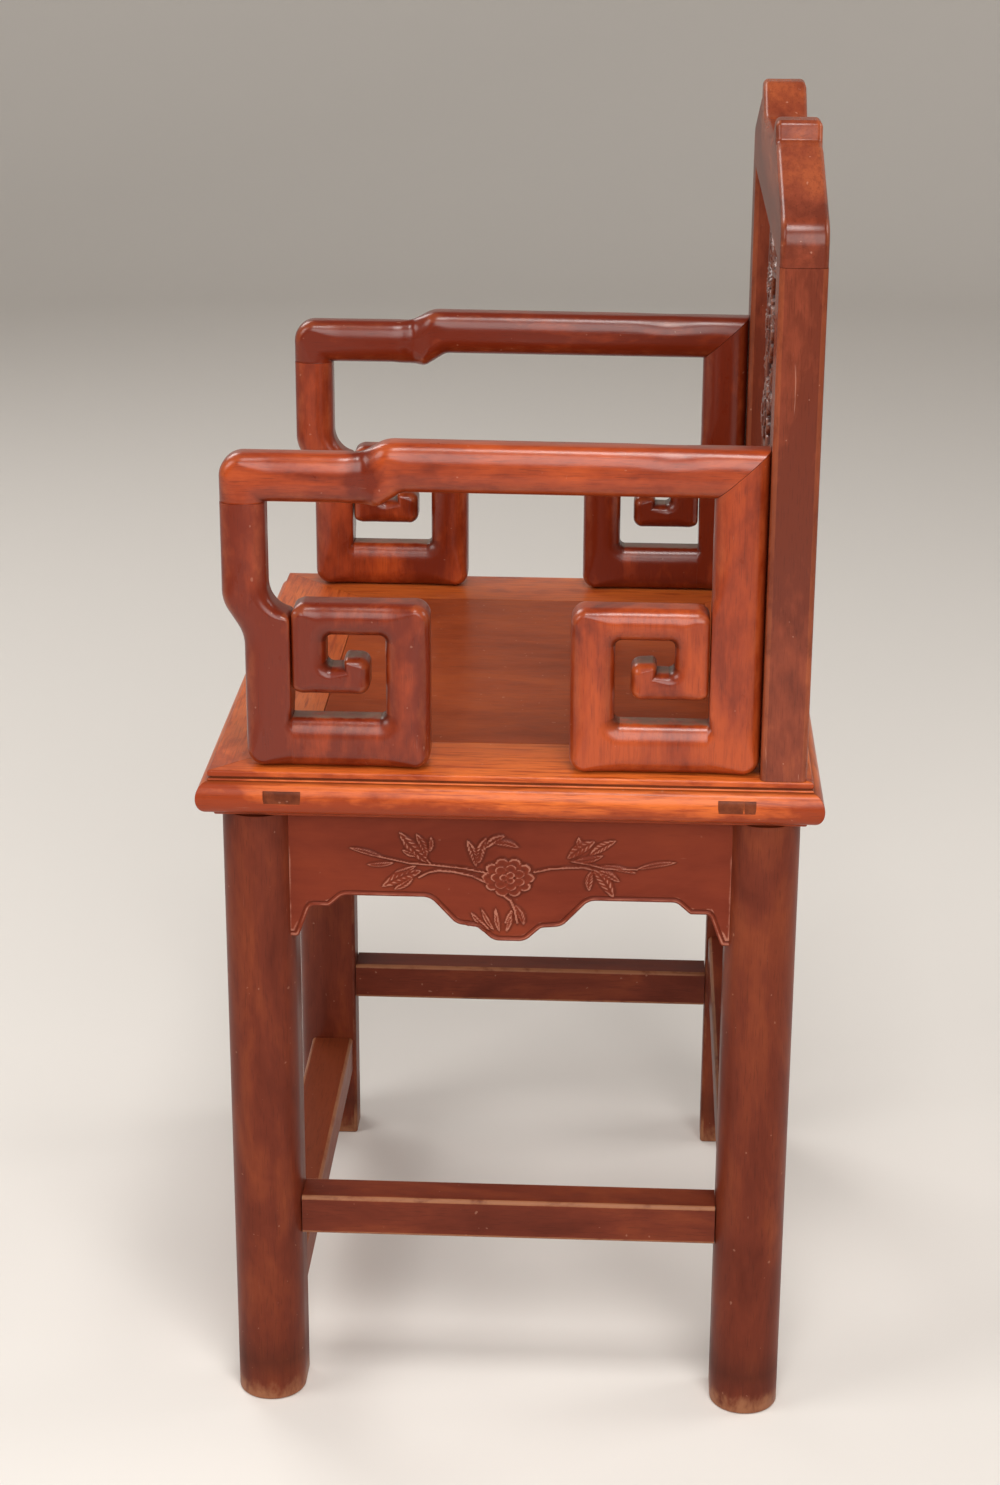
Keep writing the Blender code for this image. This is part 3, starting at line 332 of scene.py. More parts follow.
def board(name, corners, plane, low, high, rounding, grain, sizes, width=None, swell=None, log=None,
          tone=None, dusty=0.0):
    """Board cut to an outline, with crowned faces that round off into its edges.

    The point at (s, t) is outline(s) + inset(t) * room(s) * inward(s), at depth(s, t). The crown is
    a quarter of a superellipse, inset = 1 - sin(a)^e and depth = r(s) * (1 - cos(a)^e), with a from
    0 to 90 degrees, and r falls where the crown is narrow. Joint sides and the middles of the two
    faces are closed by one flat face each. swell gives how far the faces move outwards at each
    place, width and tone the crown's width and the wood's tone, and dusty the height up to which
    dust lies on the level sides.
    """
    points, joints = fillet(corners, sizes.arc_step)
    way = inward(points, joints)
    upward = -way[:, 1] / np.maximum(np.linalg.norm(way, axis=1), LEAST_LENGTH)
    upward = np.clip(upward, 0, 1)[:, None]
    width = width(points) if width else np.full(len(points), rounding * WIDE_ROUND)
    way = way * room(points, joints, width)[:, None]
    turn = np.linspace(0, math.pi / 2, sizes.round_steps + 1)
    inset, fall = 1 - np.sin(turn) ** CROWN_POWER, 1 - np.cos(turn) ** CROWN_POWER
    inset = np.concatenate(([RIM], inset, inset[::-1], [RIM]))
    fall = rounding * width[:, None] / width.max() * np.concatenate(([0], fall))
    depth = np.concatenate((low + fall, (high - fall)[:, ::-1]), 1)
    grid = points[:, None] + inset[:, None] * way[:, None]
    if swell:
        middle = (low + high) / 2
        depth = depth + swell(grid) * np.clip((depth - middle) / (high - low) * 4, -1, 1)
    place = spread(grid, depth, plane).reshape(-1, 3)
    count, deep = len(points), len(inset)
    index = np.arange(count * deep).reshape(count, deep)
    free = np.flatnonzero(~joints)
    here, after = index[free], index[(free + 1) % count]
    faces = np.stack((here[:, :-1], after[:, :-1], after[:, 1:], here[:, 1:]), -1).reshape(-1, 4).tolist()
    for k in np.flatnonzero(joints):
        faces.append(np.concatenate((index[k], index[(k + 1) % count][::-1])).tolist()[::-1])
    faces += [index[::-1, 0].tolist(), index[:, -1].tolist()]
    curve = np.where(joints | np.roll(joints, 1), 0, bend(points))
    corner = np.clip(curve * CORNER_RADIUS, 0, 1)[:, None]
    hollow = np.clip(-curve * HOLLOW_RADIUS, 0, 1)[:, None]
    # across the board, edge is 1 in the middle of each rounding, and side is 1 on the sides
    edge, side = (np.concatenate(([0], ramp, ramp[::-1], [0])) for ramp in (np.sin(2 * turn), np.sin(turn)))
    wear = edge * (1 - hollow) * (ROUNDING_WEAR + TURN_WEAR * corner) + SIDE_WEAR * corner * side
    dust = upward * side ** SIDE_DUST * (points[:, 1:] < dusty)
    return made(name, place, faces, grain, {
        "wear": np.clip(wear, 0, 1).ravel(), "dirt": (hollow * side ** SIDE_DIRT).ravel(),
        # painted shade on the board's sides, less where a side faces up
        "rim": (side ** SIDE_SHADE * (1 - upward)).ravel(), "dust": dust.ravel(),
        "tone": tone(place) if tone else 0,
    }, log)


def loft(name, rings, grain, **values):
    """Solid whose point (s, t) lies on ring s, with a flat face over its first and its last ring."""
    rows, columns = rings.shape[:2]
    faces = tube_faces(rows, columns).tolist()
    last = (rows - 1) * columns
    faces += [list(range(columns))[::-1], list(range(last, last + columns))]
    values = {key: np.broadcast_to(value, (rows, columns)).ravel() for key, value in values.items()}
    return made(name, rings.reshape(-1, 3), faces, grain, values)


def finish(piece, key, slot, *nodes):
    """Gives a piece its wood, and puts it on the chair's one body in place of these CAD nodes."""
    piece.data.materials.append(wood(key))
    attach(piece, "root")
    if nodes:
        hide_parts(*nodes)


# Seat frame

RAIL_WIDTH = 0.078
RAIL_STEPS = 41
NOSE_DEPTH = 0.0085
NOSE_STEPS = 28
TOP_BEAD_HEIGHT, TOP_BEAD_ROUND = 0.0045, 0.0015
GROOVE_DEPTH, GROOVE_HEIGHT = 0.0020, 0.0015
FINE_BEAD = 0.0018
FINE_BEAD_STEPS, TOP_BEAD_STEPS = 6, 4
LOWER_BEAD_HEIGHT, LOWER_BEAD_SETBACK = 0.0035, 0.0120
NOSE_BASE, NOSE_TOP = SEAT_LOW + LOWER_BEAD_HEIGHT, SEAT_HIGH - TOP_BEAD_HEIGHT - GROOVE_HEIGHT
SKIN = 0.00015  # how far the edge lies under the tenon ends that are let into it
# the seat rails darken towards their ends: part stain, part painted shadow
CORNER_REACH, CORNER_FADE, CORNER_SHADE_AND_POLISH = 0.055, 0.030, 0.17
THROUGH_WIDTH, THROUGH_HEIGHT, THROUGH_INSET = 0.0270, 0.0125, 0.0020
THROUGH_GAP = 0.0005
THROUGH_STEPS = 12
WEDGE_WIDTH = 0.0085


def seat_section(half):
    """Section of a seat rail: (distance from the middle of the seat, height), wear, dirt and tone.

    The nose is half an ellipse, (lip + depth * cos a, middle + rise * sin a). Over it lie a fine
    bead and a flat top bead with a groove between, and under it a square lower bead.
    """
    inner, lip, bead = half - RAIL_WIDTH, half - NOSE_DEPTH, half - LOWER_BEAD_SETBACK
    fine, groove, top_bead = NOSE_TOP - FINE_BEAD, lip - GROOVE_DEPTH, NOSE_TOP + GROOVE_HEIGHT
    middle, rise = (NOSE_BASE + fine) / 2, (fine - NOSE_BASE) / 2
    small, soft = FINE_BEAD / 2, TOP_BEAD_ROUND
    nose = np.linspace(-math.pi / 2, math.pi / 2, NOSE_STEPS + 1)
    bead_turn = np.linspace(-math.pi / 2, math.pi / 2, FINE_BEAD_STEPS + 1)
    top_turn = np.linspace(0, math.pi / 2, TOP_BEAD_STEPS + 1)
    # lower bead, nose, fine bead, groove, top bead and flat top: points, wear, dirt and tone
    parts = (
        # painted light and shade: the nose's tone rises towards its top, and the lower bead under it is
        # darker
        ([(inner, SEAT_LOW), (bead - soft / 2, SEAT_LOW), (bead, SEAT_LOW + soft / 2), (bead, NOSE_BASE)],
         (0, 0.2, 0.5, 0), (0, 0, 0, 1), -0.2),
        (np.stack((lip + (NOSE_DEPTH - SKIN) * np.cos(nose), middle + rise * np.sin(nose)), 1),
         0.35 * np.cos(nose) ** 2, np.sin(nose) ** 16, 0.20 * np.sin(nose) - 0.05),
        (np.stack((lip - small / 2 + small * np.cos(bead_turn),
                   fine + small + small * np.sin(bead_turn)), 1),
         (0, 0.2, 0.6, 0.8, 0.6, 0.2, 0), (1, 0.4, 0, 0, 0, 0.4, 1), 0),
        ([(groove, NOSE_TOP), (groove, top_bead), (lip - soft / 3, top_bead), (lip, top_bead + soft / 3)],
         (0, 0, 0.2, 0.4), (1, 1, 0.4, 0), -0.12),
        (np.stack((lip - soft + soft * np.cos(top_turn), SEAT_HIGH - soft + soft * np.sin(top_turn)), 1),
         (0.4, 0.4, 0.3, 0.1, 0), 0, (-0.12, -0.1, -0.05, 0.05, 0.1)),
        ([(inner, SEAT_HIGH)], 0, 0.5, 0.1),
    )
    wear, dirt, tone = (np.concatenate([np.broadcast_to(part[k], len(part[0])) for part in parts])
                        for k in (1, 2, 3))
    return np.concatenate([part[0] for part in parts]), wear, dirt, tone


def seat_rail(name, end, along_x):
    """Rail of the mitred seat frame: the section carried straight along the rail.

    At (s, t) the point lies at distance a(t) from the seat's middle and at s * (length - (half -
    a(t))) along it, so that both ends are cut at 45 degrees.
    """
    half, length = (HALF_DEPTH, HALF_WIDTH) if along_x else (HALF_WIDTH, HALF_DEPTH)
    section, wear, dirt, tone = seat_section(half)
    reach = length - (half - section[:, 0]) - FIT / 2 * math.sqrt(2)
    run = np.linspace(-1, 1, RAIL_STEPS)[:, None] * reach
    across = np.broadcast_to(end * section[:, 0], run.shape)
    up = np.broadcast_to(section[:, 1], run.shape)
    rings = np.stack((run, across, up) if along_x else (across, run, up), -1)
    # darker at the corners: partly polish that stays dark where nobody sits,
    # partly painted shadow of the posts, scrolls and stiles beside them
    stain = CORNER_SHADE_AND_POLISH * np.clip((np.abs(run) - length + CORNER_REACH) / CORNER_FADE, 0, 1)
    return loft(name, rings, "X" if along_x else "Y", wear=wear, dirt=dirt, tone=tone - stain)


def tenon_end(name, side, near, far):
    """End of a through tenon, let into the seat's edge.

    It is a thin patch of the nose's ellipse, x = lip + depth * sqrt(1 - (z / rise)^2), over the
    tenon's height and width, with a dark gap drawn round it by its dirt attribute.
    """
    lip, middle, rise = HALF_WIDTH - NOSE_DEPTH, (NOSE_BASE + NOSE_TOP) / 2, (NOSE_TOP - NOSE_BASE) / 2
    gap, tall = THROUGH_GAP, THROUGH_HEIGHT / 2
    along = np.concatenate(([near], np.linspace(near + gap, far - gap, THROUGH_STEPS), [far]))
    up = np.concatenate(([-tall], np.linspace(gap - tall, tall - gap, THROUGH_STEPS), [tall]))
    y, z = np.meshgrid(along, up, indexing="ij")
    edge = (y <= near + gap / 2) | (y >= far - gap / 2) | (np.abs(z) >= tall - gap / 2)
    front = lip + NOSE_DEPTH * np.sqrt(1 - (z / rise) ** 2) - SKIN / 3 - SKIN * edge
    back = np.full_like(front, lip - NOSE_DEPTH)
    rings = np.stack((side * np.hstack((front, back)), np.hstack((y, y[:, ::-1])),
                      middle + np.hstack((z, z[:, ::-1]))), -1)
    return loft(name, rings, "X", dirt=np.hstack((edge, edge[:, ::-1])))


# Legs, stretchers and aprons

LEG_WIDTH = 0.052
LEG_INNER_ROUND = 0.003
LEG_STEPS = 24
LEG_FINENESS = 1.5  # how much finer the arcs of a leg's outline are than others
FOOT_ROUND, FOOT_STEPS, FOOT_HEIGHT = 0.002, 5, 0.012
FOOT_WEAR, FOOT_WEAR_TOP = 0.022, 1.3  # the wear ends this many times this far up
FOOT_STAIN, FOOT_STAIN_SPREAD, FOOT_STAIN_DIRT = 0.034, 0.016, 0.6
LEG_EDGE_START, LEG_EDGE_WEAR = 0.3, 0.6
BAR_STEPS = 21


def leg(name, side, end, sizes):
    """Leg: an outline that is round outside and square inside, carried up from the floor.

    Near the floor the outline shrinks by r * (1 - sin a) while it rises by r * (1 - cos a).
    """
    half = LEG_WIDTH / 2
    x, y = LEG_HIGH.x - half, LEG_HIGH.y - half
    arc = half - FIT
    points, joints = fillet([(x + half, y + half, arc), (x - half, y + half, arc),
                             (x - half, y - half, LEG_INNER_ROUND), (x + half, y - half, arc)],
                            sizes.arc_step / LEG_FINENESS)
    turn = np.linspace(0, math.pi / 2, FOOT_STEPS)
    up = np.concatenate(([0], FOOT_ROUND * (1 - np.cos(turn)),
                         np.linspace(FOOT_HEIGHT, SEAT_LOW - FIT, LEG_STEPS)))
    inset = np.concatenate(([FOOT_ROUND * RIM], FOOT_ROUND * (1 - np.sin(turn)), np.zeros(LEG_STEPS)))
    grid = points + inset[:, None, None] * inward(points, joints)
    rings = np.stack((side * grid[..., 0], end * grid[..., 1],
                      np.broadcast_to(up[:, None], grid.shape[:2])), -1)
    foot = np.clip(FOOT_WEAR_TOP - up / FOOT_WEAR, 0, 1)[:, None]
    square = np.clip(bend(points) * LEG_INNER_ROUND - LEG_EDGE_START, 0, LEG_EDGE_WEAR)
    stain = FOOT_STAIN_DIRT * np.exp(-((up - FOOT_STAIN) / FOOT_STAIN_SPREAD) ** 2)[:, None]
    return loft(name, rings, "Z", wear=np.clip(foot + square, 0, 1), dirt=stain)


def bar(name, axis, ends, centre, size, rounding, sizes, tone=0.0):
    """Straight bar: a rounded rectangle carried along an axis, as its fibres run, between two ends."""
    (a, b), (w, h) = centre, (size[0] / 2, size[1] / 2)
    points = fillet([(a - w, b - h, rounding), (a + w, b - h, rounding),
                     (a + w, b + h, rounding), (a - w, b + h, rounding)], sizes.arc_step)[0]
    grid = np.broadcast_to(points, (BAR_STEPS, len(points), 2))
    rings = spread(grid, np.linspace(*ends, BAR_STEPS)[:, None], "XYZ".replace(axis, ""))
    wear = np.clip(bend(points) * rounding, 0, 1)
    return loft(name, rings, axis, wear=wear, tone=tone(rings) if callable(tone) else tone)


LEAF_TAPER, LEAF_POINT = 0.7, 1e-6  # exponent of a leaf's width, and its least half width
MIDRIB_BASE, MIDRIB_DIP, MIDRIB_WIDTH = 0.85, 0.35, 0.22  # width over the leaf's half width, as below
VEIN_HEIGHT, VEIN_SLANT, VEIN_SPACING, VEIN_START = 0.12, 1.2, 0.42, 0.15
# rings of a peony from the outside in: petals, radius of the ring, radius of a petal, height
PEONY_RINGS = ((10, 0.76, 0.27, 0.62), (7, 0.46, 0.25, 0.82), (3, 0.17, 0.19, 1.0))
PETAL_HEART, PETAL_CUP, PETAL_EDGE = 0.62, 0.38, 12
LEAF_RISE = 0.62  # over the height of a peony's heart
APRON_STEM_RISE, SPLAT_STEM_RISE = 0.6, 0.5
LEAST_SQUARE = 1e-12  # keeps the squared length of a part of a path off zero
APRON_SQUASH, SPLAT_SQUASH = 0.8, 0.92  # height of a peony over its width


def dome(distance, width):
    """Rounded ridge: sqrt(1 - (distance / width)^2) inside the width and 0 outside."""
    return np.sqrt(np.clip(1 - (distance / width) ** 2, 0, 1))


def leaf(x, z, tip, width, curl):
    """Height of a pointed leaf from (x0, z0) to (x1, z1).

    With s along the leaf and d across it from a midrib that bows by curl * sin(pi s), the leaf is a
    dome of half width w * sin(pi s)^0.7, times 0.85 - 0.35 * exp(-(d / 0.22 w)^2), which dips at
    the midrib, and with slanting veins, a cosine of s and |d|, beside it.
    """
    x0, z0, x1, z1 = tip
    length = math.hypot(x1 - x0, z1 - z0)
    ux, uz = (x1 - x0) / length, (z1 - z0) / length
    along = ((x - x0) * ux + (z - z0) * uz) / length
    s = np.clip(along, 0, 1)
    d = (z - z0) * ux - (x - x0) * uz - curl * np.sin(math.pi * s)
    inside = (along == s) * dome(d, np.maximum(width * np.sin(math.pi * s) ** LEAF_TAPER, LEAF_POINT))
    veins = VEIN_HEIGHT * np.cos((s * length + np.abs(d) * VEIN_SLANT) / (width * VEIN_SPACING) * math.pi)
    veins = veins * (np.abs(d) > width * VEIN_START)
    midrib = MIDRIB_BASE - MIDRIB_DIP * np.exp(-(d / (width * MIDRIB_WIDTH)) ** 2)
    return np.clip(inside * (midrib + veins), 0, 1)


def least_distance(x, z, line):
    """Distance of each point to a polyline, worked out part by part."""
    least = np.full(np.shape(x), np.inf)
    for (x0, z0), (x1, z1) in zip(line[:-1], line[1:]):
        dx, dz = x1 - x0, z1 - z0
        s = np.clip(((x - x0) * dx + (z - z0) * dz) / (dx * dx + dz * dz + LEAST_SQUARE), 0, 1)
        least = np.minimum(least, np.hypot(x - x0 - s * dx, z - z0 - s * dz))
    return least


def peony(x, z, centre, radius, squash, turn):
    """Height of an open peony: rings of overlapping cupped petals.

    A petal is rise * (0.62 + 0.38 * away^2) * (1 - away^12), a cup with a soft edge round the point
    of its ring at its angle. Each ring stands higher than the one outside it, and the highest
    surface shows.
    """
    x, z = (x - centre[0]) / radius, (z - centre[1]) / (radius * squash)
    height = np.zeros(np.shape(x))
    for count, ring, size, rise in PEONY_RINGS:
        angle = turn + math.tau * (np.arange(count) + 0.5 * (count % 2)) / count
        px, pz = ring * np.cos(angle), ring * np.sin(angle)
        away = np.hypot(x[..., None] - px, z[..., None] - pz) / size
        cup = rise * (PETAL_HEART + PETAL_CUP * away ** 2) * (1 - away ** PETAL_EDGE)
        petal = np.where(away < 1, cup, 0)
        height = np.maximum(height, petal.max(-1))
    return height


def mm(values):
    """Lengths in metres of ones in millimetres."""
    return np.array(values) * MILLIMETRE


def spray(x, z, peonies, leaves, stems, squash, stem_rise):
    """Height of a carved spray whose peonies, leaves and stems are given in millimetres.

    It is the highest of them all. A stem is the dome of the least distance to its path.
    """
    height = np.zeros(x.shape)
    for px, pz, radius, turn in peonies:
        height = np.maximum(height, peony(x, z, mm((px, pz)), mm(radius), squash, turn))
    for tip, width, curl in leaves:
        height = np.maximum(height, LEAF_RISE * leaf(x, z, mm(tip), mm(width), mm(curl)))
    for path, width in stems:
        height = np.maximum(height, stem_rise * dome(least_distance(x, z, mm(path)), mm(width)))
    return height


# Flower spray of an apron, in millimetres from the apron's middle and above the floor: (across, up,
# radius, turn) of a peony, and (path, half width) of a stem
APRON_PEONIES = ((-0.8, 439.5, 19, 0),)
APRON_STEMS = (
    (((-15, 434), (-27, 440), (-41, 443), (-52, 443.6), (-59, 442), (-66, 438)), 0.9),
    (((-18, 443), (-34, 446), (-45, 447), (-57, 448), (-73, 449), (-87, 452), (-101, 455)), 0.8),
    (((-57, 448), (-60, 452)), 0.8),
    (((18, 444), (30, 447), (42, 448), (54, 448.5), (60, 447)), 0.9),
    (((45, 453), (58, 451), (70, 448), (93, 448)), 0.8),
    (((-4, 425), (1, 421), (4, 414), (6, 404)), 1.2),
)
# (root across, root up, tip across, tip up), half width, bow of the midrib
APRON_LEAVES = (
    ((-58, 449, -80, 473), 4.6, 1.2), ((-66, 455, -78, 459), 2.4, 0.8), ((-60, 454, -68, 472), 3.4, -1.0),
    ((-58, 458, -57, 470), 2.2, -0.6), ((-64, 443, -93, 430), 4.8, -1.6), ((-70, 438, -84, 428), 3.0, 0.8),
    ((-68, 447, -84, 441), 2.4, 0.8), ((-84, 449, -104, 447), 2.2, 0.6), ((-90, 452, -117, 460), 2.2, -0.8),
    ((-24, 447, -31, 468), 3.4, -1.2), ((-22, 450, -17, 470), 3.6, 1.4), ((-18, 462, -3, 472), 3.2, 1.6),
    ((-12, 466, 7, 463), 3.0, 1.8), ((61, 447, 76, 425), 4.6, 1.6), ((60, 446, 58, 430), 3.2, -1.0),
    ((64, 446, 80, 438), 3.2, 1.0), ((66, 450, 92, 445), 2.4, 0.8), ((92, 448, 121, 454), 2.4, 0.8),
    ((42, 455, 62, 469), 4.4, 1.4), ((46, 453, 68, 458), 3.0, -1.0), ((58, 458, 77, 470), 3.6, 1.0),
    ((52, 462, 50, 472), 2.6, 0.6), ((4, 418, 11, 402), 3.0, 0.8), ((2, 414, -3, 403), 2.0, 0.7),
    ((-14, 397, -28, 411), 2.4, 1.0), ((-11, 397, -20, 414), 2.0, 0.8), ((-7, 396, -10, 415), 2.2, 0.6),
    ((-2, 396, 1, 413), 2.2, -0.8), ((-16, 396, -34, 403), 2.0, 0.9),
)

# Aprons: corners of half the lower edge, (distance from the leg, depth under the seat, rounding),
# and of its lobe, (distance from the middle, depth, rounding)
APRON_THICKNESS, APRON_SETBACK, APRON_HOUSING = 0.016, 0.014, 0.008
APRON_STEP = ((0.0120, 0.0750, 0.004), (0.0260, 0.0750, 0.004), (0.0360, 0.0660, 0.008))
APRON_LOBE = ((0.0580, 0.0660, 0.012), (0.0387, 0.0870, 0.012), (0.0232, 0.0885, 0.006),
              (0.0116, 0.0995, 0.012))
APRON_TIP = 0.003
APRON_LEAST_DEPTH = 0.03  # its lower edge lies further than this under the seat
APRON_BEAD, APRON_GROOVE, APRON_GROOVE_SPREAD = 0.0034, 0.0008, 0.0007
APRON_LIP = 0.0016
APRON_RIDGE = 0.00022
# the rubbed line along an apron's lip is partly painted highlight
APRON_LIP_RUB_AND_HIGHLIGHT, APRON_LIP_SPREAD = 0.8, 0.0010
APRON_END_RUB, APRON_END_START, APRON_END_FADE = 0.4, 0.004, 0.003
LOBE_TONE, LOBE_WIDTH, LOBE_HEIGHT, LOBE_FALL = 0.35, 0.012, 0.009, 0.005
APRON_EDGE_ROWS = np.concatenate(([0, 0.0004, 0.0008], np.arange(0.0014, 0.0062, 0.0006)))
APRON_ROWS_HEIGHT = 0.1  # height over which an apron's rows are counted
CARVED_STEP, PLAIN_STEP = 0.85, 1.6  # spacing of its grid over the carving step
BACK_COLUMNS = ((0, 0), (0, 2))  # the two plain columns that close a carved board at its back


def apron_edge(inner, depth, sizes):
    """Lower edge of an apron, from its one end to the other: (across, height) points."""
    half = [(inner + APRON_HOUSING, SEAT_LOW - depth, 0), (inner - APRON_TIP, SEAT_LOW - depth, APRON_TIP)]
    half += [(inner - a, SEAT_LOW - d, r) for a, d, r in APRON_STEP]
    half += [(a, SEAT_LOW - d, r) for a, d, r in APRON_LOBE]
    whole = [(-a, z, r) for a, z, r in half] + half[::-1]
    top = SEAT_LOW - FIT
    points = fillet([(-inner - APRON_HOUSING, top, 0), *whole, (inner + APRON_HOUSING, top, 0)],
                    sizes.arc_step)[0]
    line = points[points[:, 1] < SEAT_LOW - APRON_LEAST_DEPTH]
    return line[np.argsort(line[:, 0], kind="stable")]


def ridges(height, depth):
    """Wear and dirt, partly painted highlight and shade, of a carved face: above and below the mean.

    The mean is that of the points one to three steps away on both axes, and depth is the height
    over it at which a ridge counts as fully rubbed.
    """
    steps = (-3, -2, -1, 1, 2, 3)
    around = sum(np.roll(height, k, axis) for k in steps for axis in (0, 1)) / (2 * len(steps))
    proud = (height - around) / depth
    return np.clip(proud, 0, 1), np.clip(-proud, 0, 1)


def apron(name, along_x, end, depth, carved, sizes):
    """Apron: each upright slice of the board, carried along it.

    A slice runs up the front face from the lower edge z(across), where front = face + bead(d) +
    carving(across, z) and d is the distance to the lower edge, and down the flat back.
    """
    wide, other = (LEG_HIGH.x, LEG_HIGH.y) if along_x else (LEG_HIGH.y, LEG_HIGH.x)
    inner = wide - LEG_WIDTH
    outer = inner + APRON_HOUSING
    line = apron_edge(inner, depth, sizes)
    step = sizes.carving_step * (CARVED_STEP if carved else PLAIN_STEP)
    across = np.linspace(-outer, outer, int(2 * outer / step))
    base = np.interp(across, line[:, 0], line[:, 1])[:, None]
    first = APRON_EDGE_ROWS[-1]
    rest = np.linspace(0, 1, int((APRON_ROWS_HEIGHT - first) / step))[1:]
    z = np.hstack((base + APRON_EDGE_ROWS, base + (first + rest * (SEAT_LOW - FIT - base - first))))
    x = np.broadcast_to(across[:, None], z.shape)
    away = least_distance(x, z, line)
    groove = APRON_GROOVE * np.exp(-((away - APRON_BEAD) / APRON_GROOVE_SPREAD) ** 2)
    lip = APRON_GROOVE * (1 - dome(np.clip(APRON_LIP - away, 0, APRON_LIP), APRON_LIP))
    height = -groove - lip
    if carved:
        height += sizes.apron_relief * spray(x, z, APRON_PEONIES, APRON_LEAVES, APRON_STEMS,
                                             APRON_SQUASH, APRON_STEM_RISE)
    face = other - APRON_SETBACK
    back = np.full((len(across), 2), face - APRON_THICKNESS)
    out = end * np.hstack((face + height, back))
    run, up = np.hstack((x, x[:, :2])), np.hstack((z, z[:, [-1, 0]]))
    rings = np.stack((run, out, up) if along_x else (out, run, up), -1)
    # rubbed on the ridges and along the lip, both partly painted highlight, rubbed where the ends meet the
    # legs, and light on the lobe; the carving's hollows get grime that is partly painted shade
    wear, dirt = ridges(height, APRON_RIDGE)
    lip_rub_and_highlight = APRON_LIP_RUB_AND_HIGHLIGHT * np.exp(-((away - APRON_LIP) / APRON_LIP_SPREAD) ** 2)
    ends = APRON_END_RUB * np.clip((np.abs(x) - inner + APRON_END_START) / APRON_END_FADE, 0, 1)
    wear = np.clip(wear * (away > APRON_BEAD) + lip_rub_and_highlight + ends, 0, 1)
    over = z - SEAT_LOW + depth - LOBE_HEIGHT
    lobe = LOBE_TONE * carved * np.exp(-(x / LOBE_WIDTH) ** 2 - (over / LOBE_FALL) ** 2)
    return loft(name, rings, "X" if along_x else "Y", wear=np.pad(wear, BACK_COLUMNS),
                dirt=np.pad(dirt, BACK_COLUMNS), tone=np.pad(lobe, BACK_COLUMNS))


# Arms, seen from the side: fronts and backs are metres behind the middle of the seat, tops and
# bottoms are heights above the floor, and the sizes of a scroll start at its root on the seat

SEAT_TOP = SEAT_HIGH + FIT
ARM_FRONT_ROUND = 0.017
ARM_LOW_TOP, ARM_LOW_BOTTOM = 0.7530, 0.7182
ARM_HIGH_TOP, ARM_HIGH_BOTTOM = 0.7620, 0.7270
ARM_BACK_TOP, ARM_BACK_BOTTOM = 0.7605, 0.7260
ARM_STEP_TOP, ARM_STEP_BOTTOM = -0.0965, -0.0850
ARM_STEP_LENGTH = 0.0180
ARM_STEP_ROUND = 0.024
ARM_LIP = 0.0025
ARM_CORNER_ROUND = 0.011
FRONT_POST_WIDTH = 0.0320
FRONT_FOOT_FRONT, FRONT_FOOT_BACK = -0.189, -0.156
FRONT_STEP_TOP, FRONT_STEP_BOTTOM = 0.6460, 0.6215
FRONT_SHOULDER, FRONT_NECK = 0.6365, 0.6455
REAR_POST_FRONT = 0.141
POST_FOOT_ROUND = 0.013
POST_STEP_ROUND = 0.028
POST_SHOULDER_ROUND = 0.0075
POST_NECK_ROUND = 0.022
SCROLL_WIDTH, SCROLL_HEIGHT, SCROLL_SLIT = 0.0988, 0.1225, 0.0010
SCROLL_BASE_BAR, SCROLL_OUTER_BAR, SCROLL_TOP_BAR = 0.0367, 0.0316, 0.0236
SCROLL_INNER_BAR, SCROLL_LOW_BAR, SCROLL_LOW_BAR_BASE = 0.0240, 0.0200, 0.0552
SCROLL_TIP_WIDTH, SCROLL_TIP_TOP, SCROLL_NOTCH = 0.0185, 0.0825, 0.0125
SCROLL_OUTER_ROUND, SCROLL_TOP_ROUND, SCROLL_LOW_ROUND = 0.0115, 0.0096, 0.0077
SCROLL_INNER_ROUND, SCROLL_TIP_ROUND = 0.0045, 0.0071
BASE_BAR_TOP = SEAT_TOP + SCROLL_BASE_BAR
VALLEY_PLACE, VALLEY_WIDTH, VALLEY_DEPTH = -0.1035, 0.0075, 0.0040
WAVE_LOW, WAVE_MIDDLE, WAVE_SOFT = 0.0018, 0.006, 0.003
DENT_PLACE, DENT_LENGTH, DENT_DEPTH = 0.112, 0.020, 0.0022
DENT_UNDER_TOP, DENT_HEIGHT = 0.003, 0.008
# painted shade in the rail's valley and painted light on the rise behind it
RAIL_TONE, VALLEY_SHADE, VALLEY_SPREAD = 0.05, -0.34, 0.0085
RISE_LIGHT, RISE_PLACE, RISE_SPREAD = 0.08, 0.021, 0.009
# tones of a post and of a scroll: how far over the seat and from the root they change
POST_TONE_START, POST_TONE_FADE = 0.03, 0.05
CURL_TONE, CURL_ACROSS, CURL_UP, CURL_SPREAD = -0.15, 0.032, 0.082, 0.028
TOP_BAR_TONE, TOP_BAR_START, TOP_BAR_FADE = -0.07, 0.094, 0.012
SLIT_REACH = 0.003  # how far beside a slit the crown stays narrow
SLIT_FADE = 0.010
DUST_HEIGHT = 0.1  # dust lies on the level sides up to this height over the seat


